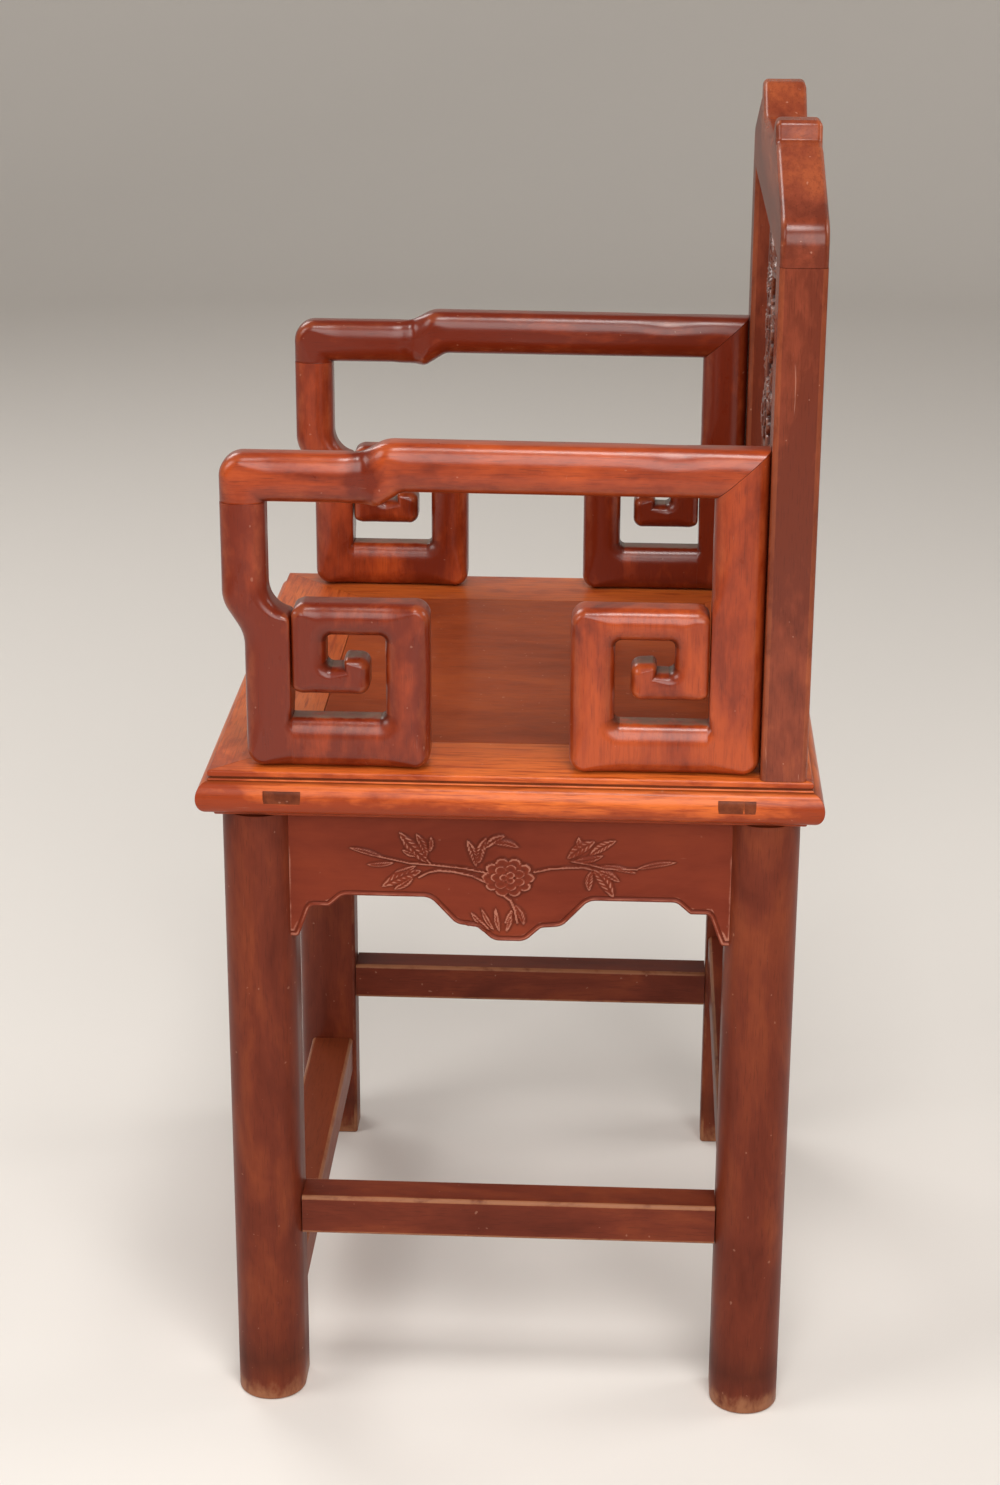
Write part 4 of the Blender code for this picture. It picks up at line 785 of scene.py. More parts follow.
def scroll_outline(root, turn):
    """Corners of a square scroll: base bar, outer bar, top bar, inner bar, low bar and upright tip."""
    inner = SCROLL_SLIT + SCROLL_INNER_BAR
    notch = inner + SCROLL_NOTCH
    window = SCROLL_WIDTH - SCROLL_OUTER_BAR
    low = SCROLL_LOW_BAR_BASE
    joint = SCROLL_SLIT / 2 + SEAM / 2
    small, outer = SCROLL_INNER_ROUND, SCROLL_OUTER_ROUND
    path = [
        (joint, 0, 0, True),
        (joint, SCROLL_BASE_BAR, 0),
        (window, SCROLL_BASE_BAR, small),
        (window, SCROLL_HEIGHT - SCROLL_TOP_BAR, small),
        (inner, SCROLL_HEIGHT - SCROLL_TOP_BAR, small),
        (inner, low + SCROLL_LOW_BAR, small),
        (notch, low + SCROLL_LOW_BAR, 0),
        (notch, SCROLL_TIP_TOP, SCROLL_TIP_ROUND / 2),
        (notch + SCROLL_TIP_WIDTH, SCROLL_TIP_TOP, SCROLL_TIP_ROUND),
        (notch + SCROLL_TIP_WIDTH, low, SCROLL_LOW_ROUND),
        (SCROLL_SLIT, low, SCROLL_LOW_ROUND),
        (SCROLL_SLIT, SCROLL_HEIGHT, SCROLL_TOP_ROUND),
        (SCROLL_WIDTH, SCROLL_HEIGHT, outer),
        (SCROLL_WIDTH, 0, outer),
    ]
    return [(root + turn * a, SEAT_TOP + up, *rest) for a, up, *rest in path]


def front_post_outline():
    """Corners of the front post: straight foot, S-shaped step out, straight top and a long neck."""
    face, head = ARM_LOW.y, ARM_LOW_BOTTOM - FIT - SEAM
    split = FRONT_FOOT_BACK + SCROLL_SLIT / 2 - SEAM / 2
    return [
        (FRONT_FOOT_FRONT, SEAT_TOP, POST_FOOT_ROUND),
        (FRONT_FOOT_FRONT, FRONT_STEP_BOTTOM, POST_STEP_ROUND),
        (face, FRONT_STEP_TOP, POST_STEP_ROUND),
        (face, head, 0, True),
        (face + FRONT_POST_WIDTH, head, 0),
        (face + FRONT_POST_WIDTH, FRONT_NECK, POST_NECK_ROUND),
        (FRONT_FOOT_BACK, FRONT_SHOULDER, POST_SHOULDER_ROUND),
        (FRONT_FOOT_BACK, BASE_BAR_TOP, 0),
        (split, BASE_BAR_TOP, 0, True),
        (split, SEAT_TOP, 0),
    ]


def mitre_line(clearance):
    """Foot and head of the mitre between the arm rail and the rear post."""
    back = STILE_LOW.y
    foot, head = np.array((REAR_POST_FRONT, ARM_BACK_BOTTOM)), np.array((back, ARM_BACK_TOP))
    along = (head - foot) / np.linalg.norm(head - foot)
    return foot + np.array((along[1], -along[0])) * clearance, along


def rear_post_outline():
    """Corners of the rear post: straight, with a mitred head."""
    root, back = REAR_POST_FRONT, STILE_LOW.y - FIT
    split = root - SCROLL_SLIT / 2 + SEAM / 2
    start, along = mitre_line(FIT / 2)
    foot = start + along * (root - start[0]) / along[0]
    head = start + along * (back - start[0]) / along[0]
    return [
        (back, SEAT_TOP, POST_FOOT_ROUND),
        (back, head[1], 0, True),
        (foot[0], foot[1], 0),
        (root, BASE_BAR_TOP, 0),
        (split, BASE_BAR_TOP, 0, True),
        (split, SEAT_TOP, 0),
    ]


def arm_rail_outline():
    """Corners of the arm rail: low front with a rounded end, a wave up, and a mitred back."""
    face, back = ARM_LOW.y, STILE_LOW.y - FIT
    half = ARM_STEP_LENGTH / 2
    start, along = mitre_line(-FIT / 2)
    fall = (ARM_HIGH_TOP - ARM_BACK_TOP) / (STILE_LOW.y - ARM_STEP_TOP)
    # where the mitre meets the rail's lower side, and its top
    slope = (ARM_BACK_BOTTOM - ARM_HIGH_BOTTOM) / (REAR_POST_FRONT - ARM_STEP_BOTTOM)
    foot = start + along * (slope * (start[0] - REAR_POST_FRONT) + ARM_BACK_BOTTOM - start[1]) / (
        along[1] - slope * along[0])
    head = start + along * (ARM_BACK_TOP - fall * (start[0] - STILE_LOW.y) - start[1]) / (
        along[1] + fall * along[0])
    head = start + along * min((head - start) @ along, (back - start[0]) / along[0])
    return [
        (face, ARM_LOW_BOTTOM - FIT, 0, True),
        (face + FRONT_POST_WIDTH, ARM_LOW_BOTTOM - FIT, 0),
        (face + FRONT_POST_WIDTH, ARM_LOW_BOTTOM, 0),
        (ARM_STEP_BOTTOM - ARM_STEP_LENGTH * 2, ARM_LOW_BOTTOM, ARM_STEP_ROUND),
        (ARM_STEP_BOTTOM - half, ARM_LOW_BOTTOM - ARM_LIP, ARM_CORNER_ROUND),
        (ARM_STEP_BOTTOM + half, ARM_HIGH_BOTTOM, ARM_CORNER_ROUND),
        (foot[0], foot[1], 0, True),
        (head[0], head[1], 0),
        (ARM_STEP_TOP + half, ARM_HIGH_TOP, ARM_STEP_ROUND),
        (ARM_STEP_TOP - half, ARM_LOW_TOP, ARM_STEP_ROUND),
        (face, ARM_LOW_TOP, ARM_FRONT_ROUND),
    ]


def wave(grid):
    """Swell of the arm rail's faces: low in front of the step, with a soft upright valley before it.

    With d the distance behind the valley, it is -low * (1 - s(d)) - valley * exp(-(d / w)^2), where
    s rises from 0 to 1 over the step. A hand's dent at the top edge takes off a little more.
    """
    along, up = grid[..., 0], grid[..., 1]
    behind = along - VALLEY_PLACE
    rise = 1 / (1 + np.exp(-(behind - WAVE_MIDDLE) / WAVE_SOFT))
    dent = np.exp(-((along - DENT_PLACE) / DENT_LENGTH) ** 2
                  - ((ARM_HIGH_TOP - DENT_UNDER_TOP - up) / DENT_HEIGHT) ** 2)
    return -WAVE_LOW * (1 - rise) - VALLEY_DEPTH * np.exp(-(behind / VALLEY_WIDTH) ** 2) - DENT_DEPTH * dent


def rail_tone(place):
    """Tone of an arm rail: painted shade in the valley, and painted light on the rise behind it."""
    behind = place[:, 1] - VALLEY_PLACE
    return (RAIL_TONE + VALLEY_SHADE * np.exp(-(behind / VALLEY_SPREAD) ** 2)
            + RISE_LIGHT * np.exp(-((behind - RISE_PLACE) / RISE_SPREAD) ** 2))


def post_tone(upper, lower):
    """Tone of a post: upper over its foot, and lower beside the base bar of its scroll."""
    def at(place):
        up = place[:, 2] - SEAT_HIGH
        return lower + (upper - lower) * np.clip((up - POST_TONE_START) / POST_TONE_FADE, 0, 1)
    return at


def scroll_tone(root, turn, tone):
    """Tone of a scroll: dark in its curl, which no hand rubs, and on its top bar."""
    def at(place):
        up = place[:, 2] - SEAT_HIGH
        away = np.hypot(place[:, 1] - root - turn * CURL_ACROSS, up - CURL_UP)
        top = np.clip((up - TOP_BAR_START) / TOP_BAR_FADE, 0, 1)
        return tone + CURL_TONE * np.exp(-(away / CURL_SPREAD) ** 2) + TOP_BAR_TONE * top
    return at


def crown(width, side, low, high, share):
    """Width of the crown along an outline: less beside an upright slit.

    It is width * (1 - share * n * s), where n = exp(-(d / 3 mm)^2) for the distance d to the slit
    and s rises from 0 to 1 over 10 mm from the height low up, and falls again from high up.
    """
    def reach(points):
        beside = np.exp(-((points[:, 0] - side) / SLIT_REACH) ** 2)
        up = points[:, 1]
        rise = np.clip((up - low) / SLIT_FADE, 0, 1) * np.clip((high - up) / SLIT_FADE + 1, 0, 1)
        return width * (1 - share * beside * rise)
    return reach


# Back

# Corners of half the crest, from its end to its middle: across, up from its base, rounding
CREST_END_HEIGHT, CREST_END_ROUND = 0.0279, 0.019
CREST_CORNERS = ((0.1400, 0.0650, 0), (0.1275, 0.0668, 0.003), (0.1215, 0.0800, 0.0056),
                 (0.1000, 0.0800, 0.008), (0.0680, 0.0575, 0.020))
# painted shade on the crest's lower part and painted light above its shoulders
CREST_LOW_SHADE, CREST_TOP_LIGHT, SHOULDER_START, SHOULDER_FADE = -0.12, 0.22, 0.034, 0.014
STILE_TONE, STILE_HEAD_TONE = -0.02, -0.12


def crest_outline():
    """Corners of the crest from the front: two horns, a valley between them and sloping shoulders."""
    end, base = CREST_HIGH.x, CREST_LOW.z
    half = [(end, base + CREST_END_HEIGHT, CREST_END_ROUND)]
    half += [(a, base + up, r) for a, up, r in CREST_CORNERS]
    mirrored = [(-a, up, r) for a, up, r in reversed(half)]
    return [(-end, base, 0, True), (end, base, 0)] + half + mirrored


def stile_tone(place):
    """Tone of a stile: darker towards its head."""
    up = (place[..., 2] - SEAT_HIGH) / (CREST_LOW.z - SEAT_HIGH)
    return STILE_TONE + STILE_HEAD_TONE * np.clip(up, 0, 1)


def crest_shading(place):
    """Tone of the crest: painted shade below its shoulders and painted light above them."""
    over = np.clip((place[:, 2] - CREST_LOW.z - SHOULDER_START) / SHOULDER_FADE, 0, 1)
    return CREST_LOW_SHADE + CREST_TOP_LIGHT * over ** 2 * (3 - 2 * over)


# Carving of the splat, in millimetres from its middle and above the floor, as for the aprons
SPLAT_PEONIES = ((6, 800, 30, 0.0), (-14, 727, 31, 0.5), (10, 612, 36, 0.2))
SPLAT_STEMS = (
    (((0, 540), (16, 560), (26, 585), (16, 600)), 2.4),
    (((10, 640), (34, 662), (40, 690), (16, 716), (-6, 722)), 2.2),
    (((-20, 752), (-36, 768), (-34, 786), (-14, 796)), 2.0),
    (((14, 824), (26, 840), (18, 858), (-4, 868)), 1.8),
    (((-22, 556), (-40, 590), (-52, 640), (-46, 690), (-38, 715)), 1.8),
    (((0, 540), (-14, 552), (-30, 560)), 2.0),
)
SPLAT_LEAVES = (
    ((26, 585, 62, 600), 8, 3), ((24, 578, 58, 560), 8, -3), ((4, 552, -26, 572), 8, 3),
    ((-22, 562, -60, 560), 8, -3), ((-36, 588, -66, 606), 7, 2), ((-44, 604, -30, 640), 7, -3),
    ((-52, 640, -68, 668), 7, 2), ((30, 655, 60, 640), 8, 3), ((38, 668, 66, 688), 8, 3),
    ((36, 694, 58, 722), 8, -3), ((18, 660, -14, 668), 8, 3), ((-6, 660, -30, 682), 8, -3),
    ((-44, 700, -66, 724), 7, 3), ((20, 740, 50, 752), 8, 3), ((24, 756, 56, 782), 8, -3),
    ((-34, 770, -64, 758), 8, 3), ((-38, 784, -64, 800), 8, -3), ((38, 806, 66, 822), 8, 3),
    ((20, 842, 56, 852), 8, 3), ((14, 852, 38, 876), 8, -3), ((-2, 866, -36, 858), 8, -3),
    ((-10, 868, -40, 880), 7, 2), ((-24, 826, -56, 838), 8, 3), ((-14, 838, -22, 862), 7, -3),
    ((6, 868, 12, 884), 6, 1), ((-46, 816, -66, 824), 6, 2), ((52, 590, 66, 620), 6, 2),
)
SPLAT_FACE = 0.1885
SPLAT_STEP = 1.15  # spacing of its grid over the carving step
SPLAT_BORDER, SPLAT_BORDER_RISE = 0.0065, 0.28
SPLAT_RIDGE = 0.0008
SPLAT_GROUND, SPLAT_GROUND_DIRT = 0.0004, 0.5  # lower than this, the carving is its sunk ground


def splat(name, sizes):
    """Splat: each level slice of the board, carried up it, front = face - carving(x, z).

    The carving is the highest of three peonies, their leaves and stems over a sunk ground, inside a
    border of the height that a dome of the distance to the edge gives.
    """
    step = sizes.carving_step * SPLAT_STEP
    low, high, half = SEAT_TOP, CREST_LOW.z - FIT, SPLAT_HIGH.x
    z, x = np.meshgrid(np.linspace(low, high, int((high - low) / step)),
                       np.linspace(-half, half, int(2 * half / step)), indexing="ij")
    height = spray(x, z, SPLAT_PEONIES, SPLAT_LEAVES, SPLAT_STEMS, SPLAT_SQUASH, SPLAT_STEM_RISE)
    edge = np.minimum(half - np.abs(x), np.minimum(z - low, high - z))
    quarter = SPLAT_BORDER / 4
    border = SPLAT_BORDER_RISE * dome(np.clip(np.abs(edge - 2 * quarter) - quarter, 0, None), quarter)
    height = sizes.splat_relief * np.maximum(height, border)
    wear, dirt = ridges(height, SPLAT_RIDGE)
    dirt = np.maximum(dirt, SPLAT_GROUND_DIRT * (height < SPLAT_GROUND))
    back = np.full((len(z), 2), SPLAT_HIGH.y)
    rings = np.stack((np.hstack((x, x[:, [-1, 0]])), np.hstack((SPLAT_FACE - height, back)),
                      np.hstack((z, z[:, :2]))), -1)
    return loft(name, rings, "Z", wear=np.pad(wear, BACK_COLUMNS), dirt=np.pad(dirt, BACK_COLUMNS))


# Materials


def add(tree, kind, inputs=(), stops=(), **settings):
    """Adds a node with its settings, its colour stops, and values or links for its sockets.

    Returns its outputs.
    """
    node = tree.nodes.new("ShaderNode" + kind)
    for key, value in settings.items():
        setattr(node, key, value)
    for socket, value in dict(inputs).items():
        if isinstance(value, bpy.types.NodeSocket):
            tree.links.new(value, node.inputs[socket])
        else:
            node.inputs[socket].default_value = value
    for _ in stops[2:]:
        node.color_ramp.elements.new(1)
    if stops:
        for element, (place, colour) in zip(node.color_ramp.elements, stops):
            element.position, element.color = place, colour
    return node.outputs


# Patterns of the wood: size across the grain in millimetres, scale along the grain over that across
# it (a streak is 14 times as long as wide), detail, distortion and turn. Pores are about 0.15 mm
# wide, and are drawn 0.8 mm wide so that they show in the render at all, and the fine scratches
# likewise.
PATTERNS = {
    "streak": (3.0, 0.07, 4, 0.3, (0, 0, 0)),
    "pore": (0.8, 0.05, 1, 0, (0, 0, 0)),
    "mottle": (9, 0.5, 5, 0.2, (0, 0, 0)),
    "drift": (42, 0.35, 4, 0.5, (0, 0, 0)),
    "scratch": (6, 0.06, 5, 0.9, (0.5, 0.9, 0.3)),
    "speck": (3.5, 1, 0, 0, (0, 0, 0)),
    "uneven": (24, 0.5, 1, 0, (0, 0, 0)),
    "peel": (4, 0.6, 2, 0, (0, 0, 0)),
}
NOISE_ROUGHNESS = 0.6
EDGE_BREAK, DUST_BREAK = 0.15, 0.4  # added to the mottling that breaks up worn edges and dust
TONE_PLACES = (0.33, 0.50, 0.68)  # tones at which the wood is deep, plain and bright
STREAK_RELIEF, PORE_RELIEF = 0.015, -0.03  # millimetres
DULL_ROUGHNESS, LEAST_ROUGHNESS = 0.3, 0.1
SHELLAC_IOR = 1.5


def waxed_rosewood(name, colour, look, turn=None):
    """Dark rosewood, planed by hand, stained red and polished with wax and shellac for many years.

    To the eye it is a deep red-brown that drifts to orange where the finish is rubbed thin, with
    faint darker streaks and short pores along the grain, a bright gloss that breaks up on the old
    hand-planed surface, pale rubbed edges, fine scratches, and grime in the hollows. turn lays the
    fibres of a CAD node along their axis, and other pieces have them in their grain attribute.
    """
    look = {**ROSEWOOD, **look}
    material = bpy.data.materials.new(name)
    material.use_nodes = True
    tree = material.node_tree
    tree.nodes.clear()
    if turn:
        place = add(tree, "TexCoord")["Object"]
        place = add(tree, "Mapping", {"Vector": place, "Rotation": turn})[0]
    else:
        place = add(tree, "Attribute", attribute_name="grain")["Vector"]
    drawn = {}
    for key, (size, along, detail, distortion, rotation) in PATTERNS.items():
        vector = add(tree, "Mapping", {"Vector": place, "Rotation": rotation, "Scale": (1, 1, along)})[0]
        drawn[key] = add(tree, "TexNoise", {
            "Vector": vector, "Scale": 1 / (size * MILLIMETRE), "Detail": detail,
            "Roughness": NOISE_ROUGHNESS, "Distortion": distortion,
        })["Fac"]
    worn = {key: add(tree, "Attribute", attribute_name=key)["Fac"] for key in ATTRIBUTES}
    mottle = drawn["mottle"]

    # places where a pattern is strong, or where the mottling breaks up a worn edge or the dust
    rubbed = add(tree, "Math", {0: mottle, 1: EDGE_BREAK}, operation="ADD")[0]
    rubbed = add(tree, "Math", {0: worn["wear"], 1: rubbed}, operation="MULTIPLY")[0]
    dusty = add(tree, "Math", {0: mottle, 1: DUST_BREAK}, operation="ADD")[0]
    dusty = add(tree, "Math", {0: worn["dust"], 1: dusty}, operation="MULTIPLY")[0]
    spots = {}
    for key, value, low, high, most in (
        ("streaks", drawn["streak"], 0.46, 0.70, look["streaks"]),
        ("pores", drawn["pore"], 0.58, 0.70, look["pores"]),
        ("rubbed", rubbed, 0.34, 0.70, look["wear"]),
        ("dust", dusty, 0.62, 1.0, 0.7),
        ("scratches", drawn["scratch"], 0.71, 0.74, look["scratches"]),
        ("specks", drawn["speck"], 0.84, 0.87, look["scratches"]),
    ):
        spots[key] = add(tree, "MapRange", {
            "Value": value, "From Min": low, "From Max": high, "To Min": 0, "To Max": most,
        }, interpolation_type="SMOOTHSTEP")[0]
    marks = add(tree, "Math", {0: spots["scratches"], 1: spots["specks"]}, operation="MAXIMUM")[0]
    # painted shade: a board's sides are drawn towards the deep colour, as far as the look asks
    rim = add(tree, "Math", {0: worn["rim"], 1: look["rim"]}, operation="MULTIPLY")[0]
    grime = add(tree, "Math", {0: worn["dirt"], 1: look["dirt"]}, operation="MULTIPLY")[0]

    tone = add(tree, "Math", {0: mottle, 1: look["mottle"], 2: drawn["drift"]},
               operation="MULTIPLY_ADD")[0]
    tone = add(tree, "Math", {0: tone, 1: look["mottle"] / 2}, operation="SUBTRACT")[0]
    # the tone attribute holds each piece's own tone, and on some pieces painted light and shade
    tone = add(tree, "Math", {0: tone, 1: worn["tone"]}, operation="ADD")[0]
    deep = tinted(colour, look["deep"])
    stops = zip(TONE_PLACES, (deep, tinted(colour, (1, 1, 1)), tinted(colour, look["bright"])))
    shown = add(tree, "ValToRGB", {"Fac": tone}, tuple(stops))[0]
    for amount, over in (
        (spots["streaks"], deep), (spots["pores"], linear(look["pore"])), (rim, deep),
        (spots["rubbed"], linear(look["rubbed"])), (grime, linear(look["grime"])),
        (spots["dust"], linear(look["dust"])), (marks, linear(look["scratch"])),
    ):
        shown = add(tree, "Mix", {0: amount, 6: shown, 7: over}, data_type="RGBA")[2]

    # rougher where the wood is mottled, and dull under grime and dust
    low, high = look["gloss"]
    rough = add(tree, "Math", {0: mottle, 1: 2 * (high - low), 2: low - (high - low) / 2},
                operation="MULTIPLY_ADD")[0]
    dull = add(tree, "Math", {0: worn["dirt"], 1: spots["dust"]}, operation="MAXIMUM")[0]
    rough = add(tree, "Math", {0: dull, 1: DULL_ROUGHNESS, 2: rough}, operation="MULTIPLY_ADD")[0]
    rough = add(tree, "Math", {0: rough, 1: LEAST_ROUGHNESS}, operation="MAXIMUM")[0]

    # height in millimetres: hand-planed waves, thick shellac, streaks and pores
    relief = add(tree, "Math", {0: drawn["uneven"], 1: look["waves"]}, operation="MULTIPLY")[0]
    for height, scale in (
        (drawn["peel"], look["peel"]), (drawn["streak"], STREAK_RELIEF), (spots["pores"], PORE_RELIEF),
    ):
        relief = add(tree, "Math", {0: height, 1: scale, 2: relief}, operation="MULTIPLY_ADD")[0]
    normal = add(tree, "Bump", {"Height": relief, "Strength": 1, "Distance": MILLIMETRE})[0]
    shader = add(tree, "BsdfPrincipled", {
        "Base Color": shown, "Roughness": rough, "Normal": normal, "IOR": SHELLAC_IOR,
        "Specular IOR Level": look["specular"], "Coat Weight": look["coat"],
        "Coat Roughness": look["coat_gloss"], "Coat Normal": normal,
    })[0]
    add(tree, "OutputMaterial", {"Surface": shader})
    return material


def tinted(colour, tint):
    """A colour made lighter or deeper, channel by channel."""
    return tuple(min(c * t, 1) for c, t in zip(colour, tint)) + (1,)


# Looks of the wood: colours over the plain one where the tone is deep or bright, amounts and hex
# codes of what lies over it, roughness from and to, millimetres of relief, gloss and coat
ROSEWOOD = {
    "deep": (0.50, 0.42, 0.40), "bright": (1.45, 1.65, 1.35), "mottle": 0.3, "streaks": 0.35,
    "pore": "#3A140C", "pores": 0.30, "rubbed": "#B8643A", "wear": 0.20, "grime": "#30140C", "dirt": 0.75,
    "rim": 0.0, "dust": "#6A5848", "scratch": "#C09078", "scratches": 0.25, "gloss": (0.26, 0.36),
    "waves": 0.22, "peel": 0.030, "specular": 0.10, "coat": 0.60, "coat_gloss": 0.30,
}
LOOKS = {
    # the arms' sides get painted shade
    "arm": {"rim": 0.8, "coat": 0.65, "coat_gloss": 0.24, "peel": 0.045, "waves": 0.28,
            "deep": (0.52, 0.38, 0.32)},
    "leg": {"gloss": (0.34, 0.46), "coat": 0.2, "coat_gloss": 0.36, "specular": 0.05, "rubbed": "#A87452",
            "wear": 0.6, "deep": (0.72, 0.66, 0.64), "mottle": 0.2, "streaks": 0.2},
    "apron": {"gloss": (0.34, 0.46), "coat": 0.12, "coat_gloss": 0.36, "specular": 0.05,
              "rubbed": "#B07460", "wear": 0.75, "dirt": 0.4, "streaks": 0.12, "pores": 0.1, "mottle": 0.15,
              "deep": (0.8, 0.74, 0.72), "bright": (1.15, 1.2, 1.1), "waves": 0.06, "scratches": 0.1},
    "seat_edge": {"pore": "#5E2412", "rubbed": "#E08850", "grime": "#70361A", "mottle": 0.45,
                  "streaks": 0.8, "deep": (0.52, 0.36, 0.28), "bright": (1.2, 1.4, 1.3), "coat": 0.35,
                  "wear": 0.3},
    "panel": {"gloss": (0.30, 0.40), "coat": 0.12, "coat_gloss": 0.2, "specular": 0.05, "waves": 0.06,
              "streaks": 0.2, "deep": (0.8, 0.75, 0.72), "bright": (1.2, 1.3, 1.15)},
    "back": {"specular": 0.0, "coat_gloss": 0.24, "wear": 0.18, "dirt": 0.15, "scratches": 0.35,
             "deep": (0.60, 0.54, 0.54), "mottle": 0.4},
    "carved": {"grime": "#1E0C08", "dirt": 1.0, "rubbed": "#A8705A", "wear": 0.5, "coat_gloss": 0.22,
               "mottle": 0.15, "deep": (0.7, 0.62, 0.6)},
    "tenon": {"grime": "#4A2010", "dirt": 0.6, "gloss": (0.34, 0.46), "coat": 0.1},
}


def wood(key):
    """The wood of one group of pieces, made once and then found by its name."""
    name = f"Waxed rosewood, {key.replace('_', ' ')}"
    colour = tuple(getattr(bpy.context.scene.armchair_colours, key))
    return bpy.data.materials.get(name) or waxed_rosewood(name, colour, LOOKS[key])


# Operators

ALONG_Y = (math.radians(90), 0, 0)  # turn of a pattern whose fibres would run along Z
# painted light: the whole footrest is drawn lighter for the light that falls on it from the front
FOOTREST_LIGHT = 0.38


class ARMCHAIR_OT_seat(Operator):
    """Make the four seat rails and tenon ends, and give the panel and the battens their wood"""

    bl_idname = "armchair.seat"
    bl_label = "Seat"

    def execute(self, context):
        for place, end in ENDS.items():
            node = f"seat_rail_{place}"
            finish(seat_rail(f"dressed_{node}", end, True), "seat_edge", "seat_edge_wood", node)
        inner = HALF_DEPTH - RAIL_WIDTH + THROUGH_INSET
        outer = inner + THROUGH_WIDTH
        for place, side in SIDES.items():
            node = f"seat_rail_{place}"
            finish(seat_rail(f"dressed_{node}", side, False), "seat_edge", "seat_edge_wood", node)
            for name, near, far, *nodes in (
                (f"tenon_front_{place}", -outer, -inner),
                (f"tenon_back_{place}", inner, outer - WEDGE_WIDTH - FIT),
                (f"wedge_{place}", outer - WEDGE_WIDTH, outer, f"tenon_wedge_{place}"),
            ):
                finish(tenon_end(name, side, near, far), "tenon", "tenon_wood", *nodes)
        for key, name, *nodes in (("panel", "floating panel", "seat_panel"),
                                  ("leg", "battens", "batten_left", "batten_right")):
            colour = tuple(getattr(context.scene.armchair_colours, key))
            material = waxed_rosewood(f"Waxed rosewood, {name}", colour, LOOKS[key], ALONG_Y)
            for node in nodes:
                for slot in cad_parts[node].material_slots:
                    slot.material = material
        return {"FINISHED"}


class ARMCHAIR_OT_legs(Operator):
    """Make the four legs, round outside and square inside"""

    bl_idname = "armchair.legs"
    bl_label = "Legs"

    def execute(self, context):
        sizes = context.scene.armchair_sizes
        for end_name, end in ENDS.items():
            for side_name, side in SIDES.items():
                node = f"leg_{end_name}_{side_name}"
                finish(leg(f"dressed_{node}", side, end, sizes), "leg", "leg_wood", node)
        return {"FINISHED"}


class ARMCHAIR_OT_stretchers(Operator):
    """Make the three stretchers and the footrest"""

    bl_idname = "armchair.stretchers"
    bl_label = "Stretchers"

    def execute(self, context):
        sizes = context.scene.armchair_sizes
        for node, axis, across, tone in (
            ("footrest", 0, 1, FOOTREST_LIGHT), ("stretcher_back", 0, 1, 0),
            ("stretcher_left", 1, 0, 0), ("stretcher_right", 1, 0, 0),
        ):
            low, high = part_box(node)
            reach = LEG_HIGH[axis] - LEG_WIDTH - FIT
            piece = bar(f"dressed_{node}", "XYZ"[axis], (-reach, reach),
                        ((low[across] + high[across]) / 2, (low.z + high.z) / 2),
                        (high[across] - low[across], high.z - low.z), sizes.rail_round, sizes, tone)
            finish(piece, "leg", "leg_wood", node)
        return {"FINISHED"}


class ARMCHAIR_OT_aprons(Operator):
    """Make the four shaped aprons with their edge bead, and carve a flower spray on three of them"""

    bl_idname = "armchair.aprons"
    bl_label = "Aprons"

    def execute(self, context):
        sizes = context.scene.armchair_sizes
        for node, along_x, end, carved in (
            ("apron_front", True, -1, True), ("apron_back", True, 1, False),
            ("apron_left", False, 1, True), ("apron_right", False, -1, True),
        ):
            depth = SEAT_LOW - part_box(node)[0].z
            finish(apron(f"dressed_{node}", along_x, end, depth, carved, sizes), "apron", "leg_wood", node)
        return {"FINISHED"}


class ARMCHAIR_OT_arms(Operator):
    """Make the arm rails, the posts and the square scrolls"""

    bl_idname = "armchair.arms"
    bl_label = "Arms"

    def execute(self, context):
        sizes = context.scene.armchair_sizes
        base, scroll_top = SEAT_HIGH + SCROLL_BASE_BAR, SEAT_HIGH + SCROLL_HEIGHT
        # a slit's place, its top and how much narrower the crown is there, and the painted light and shade
        # that draw the far arm's wood lighter or darker
        pieces = (
            ("arm_rail", arm_rail_outline(), "Y", 1, base, 0, -0.30, rail_tone),
            ("front_post", front_post_outline(), "Z", FRONT_FOOT_BACK, FRONT_SHOULDER, 0.8, 0.08,
             post_tone(-0.17, -0.11)),
            ("rear_post", rear_post_outline(), "Z", REAR_POST_FRONT, scroll_top, 0.8, -0.26,
             post_tone(0.03, 0.08)),
            ("front_scroll", scroll_outline(FRONT_FOOT_BACK, 1), "Z", FRONT_FOOT_BACK + SCROLL_SLIT, 1,
             0.6, 0.12, scroll_tone(FRONT_FOOT_BACK, 1, -0.11)),
            ("rear_scroll", scroll_outline(REAR_POST_FRONT, -1), "Z", REAR_POST_FRONT - SCROLL_SLIT, 1,
             0.6, -0.30, scroll_tone(REAR_POST_FRONT, -1, 0.08)),
        )
        for place, side in SIDES.items():
            low, high = sorted((side * ARM_LOW.x, side * ARM_HIGH.x))
            for name, outline, grain, slit, top, share, far_light_and_shade, tone in pieces:
                node = f"{name}_{place}"
                # painted light and shade: only the far arm is drawn lighter or darker
                shift = 0 if side > 0 else far_light_and_shade
                piece = board(
                    f"dressed_{node}", outline, "YZ", low, high, sizes.arm_round, grain, sizes,
                    width=crown(sizes.arm_crown, slit, base, top, share),
                    swell=wave if name == "arm_rail" else None, log=name.split("_")[0] + place,
                    tone=lambda at, tone=tone, shift=shift: tone(at) + shift,
                    dusty=SEAT_HIGH + DUST_HEIGHT if "scroll" in name else 0)
                finish(piece, "arm", "arm_wood", node)
        return {"FINISHED"}


